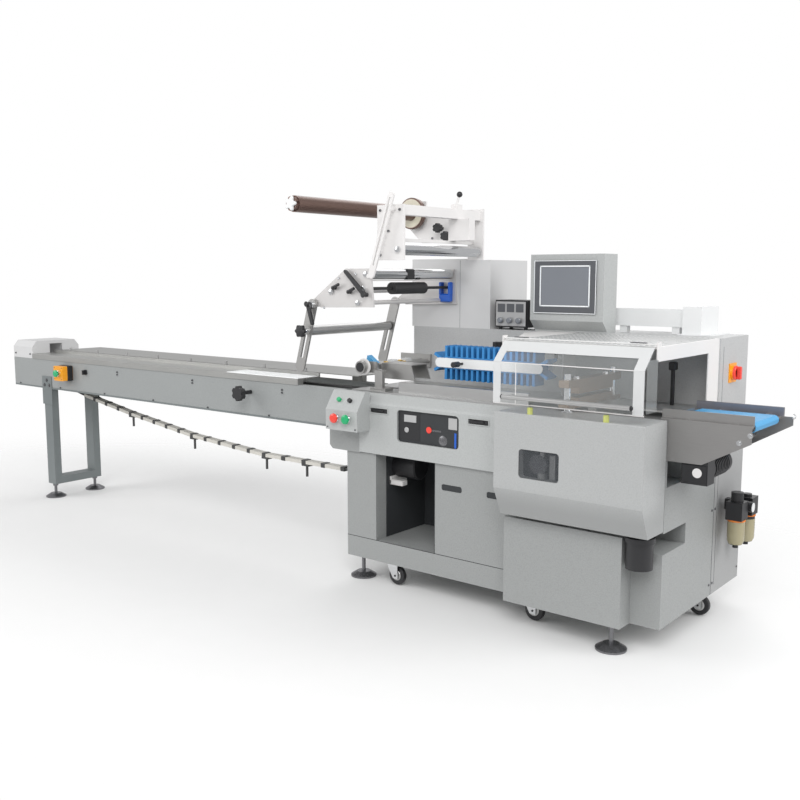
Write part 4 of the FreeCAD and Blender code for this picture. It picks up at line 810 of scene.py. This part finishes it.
@dataclass
class SealingHead:
    """The sealing box, jaws and guard."""

    bumper_x: tuple[float, float] = (966.0, 1245.0)

    def build(self) -> None:
        """Window back in painted shade with its gear and shaft, bumpers, jaw details, guard hinges
        and the handle's end caps.
        """
        low, high = low_high("seal_box")
        self.window(low)
        pads = Shape()
        for x in self.bumper_x:
            pads.lathe(at(x, low[1] + 13, high[2]), Axis.Z,
                       [(0, 0), (0, 0.0095), (0.021, 0.0095), (0.023, 0.0075), (0.023, 0)], 28)
        pads.make("guard_bumpers", BUMPER, "machine", "rubber")
        self.jaws()
        self.guard()

    def window(self, low: np.ndarray) -> None:
        """Painted shade at the back of the box's window, and a gear behind the window."""
        y = low[1]
        # painted shade: a near-black sheet where the window's interior is in shade
        back = Shape()
        back.block(at(933, y + 32, 583), at(1085, y + 38, 680))
        back.make("seal_window_painted_shade", Look.SHADE_AND_SEAMS, "machine", "black_plastic", False)
        gear = Shape()
        turn = np.linspace(0, 2 * math.pi, 97)[:-1]
        reach = 0.034 + 0.002 * np.sign(np.sin(24 * turn))
        ring = [(at(1000, 0, 0)[0] + r * math.cos(t), 0.632 + r * math.sin(t))
                for r, t in zip(reach, turn)]
        gear.outline(ring, Axis.Y, at(0, y + 14, 0)[1], at(0, y + 26, 0)[1])
        gear.make("seal_window_gear", Look.DARK_CHROME, "machine", "stainless", False)
        shaft = Shape()
        shaft.lathe(at(1012, y + 24, 583.5), Axis.Z,
                    [(0, 0), (0, 0.016), (0.02, 0.016), (0.024, 0.009), (0.094, 0.009),
                     (0.094, 0)], 28)
        shaft.block(at(1040, y + 20, 584), at(1062, y + 31, 668), 0.001)
        shaft.make("seal_window_shaft", Look.STEEL, "machine", "stainless")

    def jaws(self) -> None:
        """Heater cables' bosses on both jaws and nuts on the upper crosshead."""
        for name, body, up in (("upper_jaw", "upper_jaw_head", 1), ("lower_jaw",
                                                                   "lower_jaw_head", -1)):
            low, high = low_high(name)
            nuts = Shape()
            x = (low[0] + high[0]) / 2
            z = high[2] if up > 0 else low[2]
            if up > 0:
                for y in (low[1] + 90, high[1] - 90):
                    hex_bolt(nuts, x, y, z, Axis.Z, 1, 17, 9)
                nuts.make(f"{name}_nuts", Look.CHROME, body, "chrome")
            boss = Shape()
            zz = z - up * 38
            boss.lathe(at(low[0] + 3, 60, zz if up > 0 else high[2] - 9), Axis.X,
                       [(0, 0), (0, 0.006), (0.01, 0.006), (0.012, 0.0045), (0.012, 0)], 20, -1)
            boss.make(f"{name}_heater_boss", Look.BRASS, body, "jaw_steel")

    def guard(self) -> None:
        """Hinge straps, the hood's strips, the handle's round ends and the jaw lever."""
        low, high = low_high("guard_hood")
        caps = Shape()
        bar = low_high("guard_handle")
        y = bar[0][1] + 8
        z = (bar[0][2] + bar[1][2]) / 2
        dome = [(0, 0), (0, 0.0083), (0.004, 0.0078), (0.007, 0.005), (0.0078, 0)]
        caps.lathe(at(bar[0][0], y, z), Axis.X, dome, 24, -1)
        caps.lathe(at(bar[1][0], y, z), Axis.X, dome, 24, 1)
        caps.make("handle_caps", Look.BLACK, "guard", "black_plastic")
        self.strips(low, high)
        hinges = Shape()
        for x in (low[0] + 60, high[0] - 60):
            hinges.block(at(x - 28, high[1] - 4, high[2] - 3), at(x + 28, high[1] + 1.5, high[2]
                                                                 + 1.5), 0.001)
        hinges.make("guard_hinge_straps", Look.DARK_CHROME, "guard", "chrome")
        latch = Shape()
        latch.block(at(1252, 326, 800), at(1264, 338, 955), 0.002)
        latch.block(at(1246, 318, 930), at(1270, 346, 960), 0.003)
        latch.make("jaw_lever", Look.BLACK, "machine", "black_plastic")


    def strips(self, low: np.ndarray, high: np.ndarray) -> None:
        """Pale strips on the hood's ends and slope, its clear side pane and the cover's rows."""
        bend = (low[1], 971.0)
        crest = (low[1] + 68.0, 1037.3)
        start = (low[1] + 35.0, 1005.1)
        out = 1.6

        def wrap(path: Sequence[tuple[float, float]], x0: float, x1: float) -> None:
            """One strip that follows the outside of the hood from x0 to x1."""
            near = [(at(0, y, 0)[1], z * MM) for y, z in path]
            far = [(at(0, y - out, 0)[1], (z + out * 0.6) * MM) for y, z in reversed(path)]
            rim.outline(near + far, Axis.X, at(x0, 0, 0)[0], at(x1, 0, 0)[0])

        rim = Shape()
        wrap([(low[1], low[2] + 1), bend, crest], low[0], low[0] + 30)
        wrap([(low[1], low[2] + 1), bend, crest], high[0] - 36, high[0])
        wrap([start, crest], low[0] + 30, high[0] - 36)
        rim.make("hood_strips", EDGE, "guard", "acrylic", False)
        seam = Shape()
        seam.block(at(low[0] + 88, low[1] - 0.8, low[2] + 2), at(low[0] + 91, low[1] + 0.2, 970))
        seam.block(at(low[0] + 1, low[1] - 0.9, 968.5), at(high[0] - 1, low[1] + 0.2, 971.5))
        seam.block(at(low[0], low[1] - 0.9, low[2] - 0.4), at(high[0], low[1] + 5.4, low[2] + 3))
        seam.make("hood_edges", Look.PALE, "guard", "acrylic", False)
        pane = Shape()
        pane.block(at(high[0] + 6, low[1] + 2, 836), at(high[0] + 9, high[1] - 6, 1003), 0.001)
        pane.make("side_pane", Look.ACRYLIC, "machine", "acrylic")
        rows = Shape()
        for x in np.arange(low[0] + 8, high[0] - 10, 19.0):
            for y in np.arange(high[1] + 22, 420.0, 31.0):
                rows.block(at(x, y, 1040.9), at(x + 8, y + 21, 1041.5))
        rows.make("cover_perforations", Look.LEG, "machine", "white_paint", False)


BUMPER = Finish("yellow_green_bumper", (0.62, 0.66, 0.2), 0.4, alpha=0.85)
EDGE = Finish("hood_strip", (0.74, 0.75, 0.75), 0.35, 0.0, 0.02, 0.3, alpha=0.82)


@dataclass
class FilmUnits:
    """The reel shaft and both film units."""

    def build(self) -> None:
        """Bearing block, collars, sensors, clamps and the reel disc's cream face."""
        rear = low_high("lower_film_plates")[1][1] - 10
        front = low_high("lower_film_plates")[0][1]
        blue = Shape()
        blue.block(at(160, rear - 24, 1150), at(218, rear, 1186), 0.005)
        for x in (160, 207):
            blue.block(at(x, rear - 24, 1180), at(x + 11, rear, 1236), 0.003)
        blue.make("blue_bearing_block", Look.BLUE, "machine", "black_plastic")
        sensor = Shape()
        sensor.block(at(196, 120, 1247), at(224, 168, 1290), 0.004)
        sensor.block(at(200, 188, 1247), at(218, 214, 1274), 0.003)
        sensor.make("film_sensor", Look.BLACK, "machine", "black_plastic")
        clamp = Shape()
        clamp.block(at(8, 90, 1187), at(34, 112, 1213), 0.003)
        clamp.make("bar_clamp", Look.BLUE, "machine", "black_plastic")
        collars = Shape()
        for x, z in ((202.0, 1269.0), (189.0, 1213.0), (20.0, 1200.0), (161.0, 1158.0)):
            collars.lathe(at(x, front, z), Axis.Y,
                          [(0, 0), (0, 0.011), (0.007, 0.011), (0.008, 0.009), (0.008, 0)], 28, -1)
        collars.lathe(at(336, -80, 1361), Axis.Y,
                      [(0, 0), (0, 0.012), (0.008, 0.012), (0.009, 0.01), (0.009, 0)], 28, -1)
        for x, z in ((60.0, 1268.0), (150.0, 1284.0), (-20.0, 1150.0)):
            cap_screw(collars, x, front, z - 14, radius=4.5)
        collars.make("shaft_collars", Look.CHROME, "machine", "chrome")
        clamps = Shape()
        self.lever(clamps, (205, 1190), (108, 1279), front)
        clamps.make("plate_clamp_lever", Look.BLACK, "machine", "black_plastic")
        self.dancer()
        self.upper()
        self.mandrel()
        self.former()

    def former(self) -> None:
        """The former's dark hub, pale wheel rim, brass collars, clear blocks and blue wedge."""
        hub, rim, brass, clear, wedge = (Shape() for _ in range(5))
        hub.lathe(at(46, 30, 890), Axis.Y, [(0, 0), (0, 0.02), (0.003, 0.019), (0.003, 0)], 36, -1)
        hub.make("former_hub", Look.BLACK, "machine", "black_plastic")
        rim.lathe(at(46, 52, 890), Axis.Y, [(0, 0), (0, 0.034), (0.006, 0.034), (0.006, 0)], 40)
        rim.make("former_wheel_rim", Look.PALE, "machine", "white_paint")
        for y in (190, 285):
            brass.lathe(at(46, y, 890), Axis.Y, [(0, 0), (0, 0.0145), (0.012, 0.0145), (0.012, 0)],
                        28)
            brass.lathe(at(84, y - 20, 890), Axis.Y, [(0, 0), (0, 0.014), (0.01, 0.014),
                                                      (0.01, 0)], 28)
        brass.make("former_collars", Look.BRASS, "machine", "bronze")
        for y in (130, 225, 320):
            clear.block(at(30, y, 872), at(62, y + 34, 908), 0.002)
        clear.make("former_blocks", Look.BOX, "machine", "acrylic")
        wedge.outline([(at(20, 0, 0)[0], 0.902), (at(74, 0, 0)[0], 0.904),
                       (at(30, 0, 0)[0], 0.934)], Axis.Y, at(0, 96, 0)[1], at(0, 124, 0)[1])
        wedge.make("former_wedge", Look.BELT, "machine", "belt_blue", False)

    def dancer(self) -> None:
        """Star knobs and collars at the dancer arms' front ends."""
        arm = low_high("dancer_arms")[0][1]
        knob = Shape()
        lobes = 6
        turn = np.linspace(0, 2 * math.pi, 72, endpoint=False)
        reach = 0.0235 + 0.003 * np.cos(lobes * turn)
        rings = []
        for y, share in ((0.0, 0.8), (0.003, 1.0), (0.016, 1.0), (0.02, 0.85), (0.021, 0.3)):
            x0, y0, z0 = at(-107, arm, 1041)
            rings.append(np.stack([x0 + reach * share * np.cos(turn), np.full(72, y0 - 0.026 - y),
                                   z0 + reach * share * np.sin(turn)], 1))
        knob.sweep(np.array(rings))
        self.lever(knob, (-84, 1150), (-60, 1072), arm)
        knob.make("dancer_star_knob", Look.BLACK, "dancer", "black_plastic")
        hub = Shape()
        hub.lathe(at(-107, arm, 1041), Axis.Y, [(0, 0), (0, 0.012), (0.022, 0.012), (0.027, 0.009),
                                                (0.027, 0)], 24, -1)
        hub.lathe(at(-76, arm, 1146), Axis.Y,
                  [(0, 0), (0, 0.014), (0.006, 0.014), (0.008, 0.011), (0.008, 0)], 32, -1)
        hub.make("dancer_hub", Look.CHROME, "dancer", "chrome")

    def lever(self, shape: Shape, hub: tuple[float, float], tip: tuple[float, float],
              face: float) -> None:
        """A clamp lever on a face: a round hub and an arm that narrows to a round tip."""
        length = math.hypot(tip[0] - hub[0], tip[1] - hub[1])
        way = ((tip[0] - hub[0]) / length, (tip[1] - hub[1]) / length)
        side = (-way[1], way[0])
        ring = []
        for centre, radius, start in ((hub, 9.0, 90), (tip, 6.5, -90)):
            for step in range(7):
                turn = math.radians(start + 30 * step)
                a, b = radius * math.cos(turn), radius * math.sin(turn)
                ring.append((at(centre[0] + way[0] * a + side[0] * b, 0, 0)[0],
                             (centre[1] + way[1] * a + side[1] * b) * MM))
        shape.outline(ring, Axis.Y, at(0, face - 20, 0)[1], at(0, face - 10, 0)[1])
        shape.lathe(at(hub[0], face, hub[1]), Axis.Y,
                    [(0, 0), (0, 0.0085), (0.018, 0.0085), (0.026, 0.011), (0.028, 0.009),
                     (0.028, 0)], 28, -1)

    def upper(self) -> None:
        """Screws of the upper plates and the black lever's ball."""
        screws = Shape()
        for x, z in ((250.0, 1340.0), (250.0, 1508.0), (345.0, 1508.0), (290.0, 1430.0)):
            cap_screw(screws, x, -80, z, radius=5)
        for x, z in ((60.0, 1520.0), (100.0, 1424.0), (260.0, 1424.0)):
            cap_screw(screws, x, 451, z, radius=5)
        screws.make("upper_frame_screws", Look.DARK_CHROME, "machine", "chrome")
        ball = Shape()
        arc = [(0.012 - 0.012 * math.cos(a), 0.012 * math.sin(a))
               for a in np.linspace(0, math.pi, 13)]
        ball.lathe(at(345, 305, 1576), Axis.Z, arc, 24)
        ball.make("lever_ball", Look.BLACK, "machine", "black_plastic")

    def mandrel(self) -> None:
        """The white star cap at the shaft's open end and the disc's cream face."""
        x, z = 16.0, 1531.0
        end = low_high("mandrel_shaft")[0][1]
        cap = Shape()
        turn = np.linspace(0, 2 * math.pi, 80, endpoint=False)
        reach = 0.0225 + 0.0055 * np.cos(5 * turn)
        rings = []
        for y, share in ((0.0, 1.0), (0.007, 1.0), (0.009, 0.9), (0.0095, 0.2)):
            x0, y0, z0 = at(x, end, z)
            rings.append(np.stack([x0 + reach * share * np.cos(turn), np.full(80, y0 - y),
                                   z0 + reach * share * np.sin(turn)], 1))
        cap.sweep(np.array(rings))
        cap.make("mandrel_star_cap", Look.WHITE, "mandrel", "white_paint")
        rim = Shape()
        rim.lathe(at(x, 404.4, z), Axis.Y, [(0, 0.034), (0, 0.061), (0.001, 0.061), (0.001, 0.034)],
                  64, 1)
        rim.make("reel_disc_face", CREAM, "mandrel", "white_paint")


CREAM = Finish("cream_disc", (0.66, 0.62, 0.5), 0.45)


@dataclass
class Displays:
    """The touch panel, the temperature controller and the main switch."""

    def build(self) -> None:
        """Screen with its unlabelled fields, controller windows and dials, switch knob."""
        y = low_high("hmi_panel")[0][1]
        screen = Shape()
        screen.block(at(661, y + 0.6, 1148), at(869, y + 2.2, 1296), 0.0004)
        screen.make("hmi_screen", Look.SCREEN, "machine", "panel_dark")
        painted_light_rims = Shape()
        for x0, x1, z0, z1, wide in ((655, 875, 1142, 1302, 5), (629, 901, 1115, 1322, 2.5)):
            for a0, a1, b0, b1 in ((x0, x1, z0, z0 + wide), (x0, x1, z1 - wide, z1),
                                   (x0, x0 + wide, z0, z1), (x1 - wide, x1, z0, z1)):
                painted_light_rims.block(at(a0, y - 0.8, b0), at(a1, y + 0.4, b1))
        # painted light: the rims shine faintly by themselves though they are no lamp
        painted_light_rims.make("hmi_rims_painted_light", Look.LINE_PAINTED_LIGHT, "machine", "panel_dark", False)
        self.controller()
        self.switch()

    def controller(self) -> None:
        """A silver face, three dark displays and three dials."""
        x0, y = 432.0, 450.0
        face = Shape()
        face.block(at(x0 + 2, y - 0.8, 1057), at(576, y + 0.2, 1157), 0.0004)
        face.make("controller_face", Look.SILVER, "machine", "panel_dark")
        windows, dials = Shape(), Shape()
        for i in range(3):
            x = 442 + 44 * i
            windows.block(at(x, y - 2.4, 1114), at(x + 36, y - 0.6, 1148), 0.001)
            dials.lathe(at(x + 18, 442, 1080), Axis.Y,
                        [(0, 0), (0, 0.0125), (0.008, 0.0115), (0.01, 0.009), (0.01, 0)], 28, -1)
        windows.make("controller_windows", Look.BEZEL, "machine", "black_plastic")
        dials.make("controller_dials", Look.SCREEN, "machine", "black_plastic")

    def switch(self) -> None:
        """The red turning handle on the yellow plate."""
        high = low_high("main_switch")[1]
        knob = Shape()
        knob.lathe(at(high[0] - 23, 575, 910), Axis.X,
                   [(0, 0), (0, 0.0265), (0.006, 0.0265), (0.009, 0.024), (0.009, 0)], 40)
        knob.block(at(high[0] - 20, 567, 886), at(high[0] + 1, 583, 934), 0.003)
        knob.make("switch_handle", Look.RED, "machine", "red")


@dataclass
class Discharge:
    """The belt discharge and its motor."""

    def build(self) -> None:
        """Side bolts, the tension bolt, the gearhead's cover and the motor's fins."""
        y = low_high("discharge_plates")[0][1]
        bolts = Shape()
        for x, z in ((1612.0, 752.0), (1645.0, 778.0)):
            hex_bolt(bolts, x, y, z, across=11, high=4.5)
        hex_bolt(bolts, 1684, 302, 806, Axis.X, 1, 13, 6)
        bolts.make("discharge_bolts", Look.CHROME, "machine", "chrome")
        gear = Shape()
        gear.block(at(1434, 6, 605), at(1514, 9.5, 666), 0.002)
        gear.make("gearhead_face", Look.BLACK, "machine", "black_plastic")
        disc = Shape()
        disc.lathe(at(1484, 6, 641), Axis.Y, [(0, 0), (0, 0.0155), (0.0008, 0.0155), (0.0008, 0)],
                   36, -1)
        disc.make("gearhead_disc", Look.PALE, "machine", "white_paint")
        slate = Shape()
        slate.block(at(1362, 297.5, 805.5), at(1654, 299.9, 834), 0.0006)
        slate.make("back_guide_face", Look.SLATE, "machine", "stainless")
        fins = Shape()
        for i in range(9):
            fins.lathe(at(1474, 95 + 14 * i, 645), Axis.Y,
                       [(0, 0), (0, 0.0425), (0.006, 0.0425), (0.006, 0)], 40)
        fins.make("motor_fins", Look.BLACK, "machine", "black_plastic")


@dataclass
class AirUnit:
    """The filter, regulator and lubricator on the end face."""

    def build(self) -> None:
        """Gauge face, orange rings and amber bowls."""
        gauge = Shape()
        gauge.lathe(at(1482, 577, 418), Axis.X, [(0, 0), (0, 0.0175), (0.0008, 0.0175),
                                                 (0.0008, 0)], 32)
        gauge.make("gauge_face", Look.WHITE, "machine", "white_paint")
        rings, bowls = Shape(), Shape()
        for y, z0 in ((520.0, 287.0), (630.0, 276.0)):
            rings.lathe(at(1442, y, 374), Axis.Z, [(0, 0), (0, 0.0325), (0.006, 0.0325),
                                                   (0.006, 0)], 40)
            bowls.lathe(at(1442, y, z0), Axis.Z,
                        [(0, 0.024), (0.014, 0.0305), (0.05, 0.0308), (0.087, 0.0308),
                         (0.087, 0.029)], 40)
        rings.make("air_unit_rings", ORANGE, "machine", "yellow")
        bowls.make("air_unit_bowls", Look.BOWL, "machine", "acrylic")


ORANGE = Finish("orange_ring", (0.75, 0.2, 0.02), 0.4)


@dataclass
class Castors:
    """Hub caps of the four castors."""

    def build(self) -> None:
        """A hub disc on each side of each wheel."""
        for i in range(1, 5):
            low, high = low_high(f"castor_wheel_{i}")
            x, y, z = (low + high) / 2
            hub = Shape()
            for sign in (-1, 1):
                hub.lathe(at(x, y + 10 * sign, z), Axis.Y,
                          [(0, 0), (0, 0.022), (0.0018, 0.02), (0.0018, 0)], 32, sign)
            hub.make(f"castor_hub_{i}", Look.STEEL, f"wheel_{i}", "chrome")


def frame_camera() -> None:
    """The camera at a standing person's chest, right of the machine's discharge end."""
    camera = bpy.data.objects.new("camera", bpy.data.cameras.new("camera"))
    camera.data.lens = 42.2
    camera.data.sensor_width = 36.0
    camera.data.clip_start = 0.05
    camera.location = (Frame.X0 + 2.5764, Frame.Y0 - 2.8588, 1.26)
    camera.rotation_euler = (math.radians(82.49), 0.0, math.radians(38.76))
    bpy.context.scene.collection.objects.link(camera)
    bpy.context.scene.camera = camera


def area_light(name: str, place: Point, aim: Point, size: float, power: float,
               colour: Colour = (1, 1, 1)) -> None:
    """A soft square light that points at a place."""
    light = bpy.data.objects.new(name, bpy.data.lights.new(name, "AREA"))
    light.data.size = size
    light.data.energy = power
    light.data.color = colour
    light.location = place
    light.rotation_euler = (Vector(aim) - Vector(place)).to_track_quat("-Z", "Y").to_euler()
    bpy.context.scene.collection.objects.link(light)


def build_stage() -> None:
    """A pale floor, soft studio lights and a white background."""
    floor = bpy.data.meshes.new("floor")
    half = 9.0
    floor.from_pydata([(-half, -half, 0), (half, -half, 0), (half, half, 0), (-half, half, 0)], [],
                      [(0, 1, 2, 3)])
    made = bpy.data.objects.new("floor", floor)
    bpy.context.scene.collection.objects.link(made)
    floor.materials.append(Faded("pale_floor", (0.86, 0.86, 0.855), 0.6, mottle=0.01).build())
    area_light("key", (3.5, -4.5, 4.5), (0.3, 0, 0.7), 3.5, 215)
    area_light("fill", (-4.5, -4.0, 3.2), (-0.6, 0, 0.6), 4.0, 135)
    area_light("end", (5.0, 1.0, 2.6), (1.0, 0, 0.6), 2.5, 80)
    area_light("back", (-1.0, 4.5, 4.0), (0, 0, 0.8), 4.0, 85)
    world = bpy.data.worlds.new("studio")
    bpy.context.scene.world = world
    world.use_nodes = True
    tree = world.node_tree
    tree.nodes.clear()
    path = tree.nodes.new("ShaderNodeLightPath")
    seen = tree.nodes.new("ShaderNodeMath")
    seen.operation = "MAXIMUM"
    tree.links.new(path.outputs["Is Camera Ray"], seen.inputs[0])
    through = tree.nodes.new("ShaderNodeMath")
    through.operation = "MULTIPLY"
    tree.links.new(path.outputs["Is Transmission Ray"], through.inputs[0])
    through.inputs[1].default_value = 1.0
    tree.links.new(through.outputs[0], seen.inputs[1])
    soft = tree.nodes.new("ShaderNodeBackground")
    soft.inputs[0].default_value = (0.99, 0.99, 1.0, 1)
    soft.inputs[1].default_value = 0.6
    white = tree.nodes.new("ShaderNodeBackground")
    white.inputs[0].default_value = (1, 1, 1, 1)
    white.inputs[1].default_value = 1.0
    mix = tree.nodes.new("ShaderNodeMixShader")
    tree.links.new(seen.outputs[0], mix.inputs[0])
    tree.links.new(soft.outputs[0], mix.inputs[1])
    tree.links.new(white.outputs[0], mix.inputs[2])
    output = tree.nodes.new("ShaderNodeOutputWorld")
    tree.links.new(mix.outputs[0], output.inputs[0])
    bpy.context.scene.view_settings.view_transform = "Standard"


def main() -> None:
    """Dress the machine and light it."""
    logging.basicConfig(level=logging.INFO, format="%(name)s %(message)s")
    dress_nodes()
    for part in (Infeed(), Controls(), Cabinet(), SealingHead(), FilmUnits(), Displays(),
                 Discharge(), AirUnit(), Castors()):
        part.build()
    build_stage()
    frame_camera()


if __name__ == "__main__":
    main()
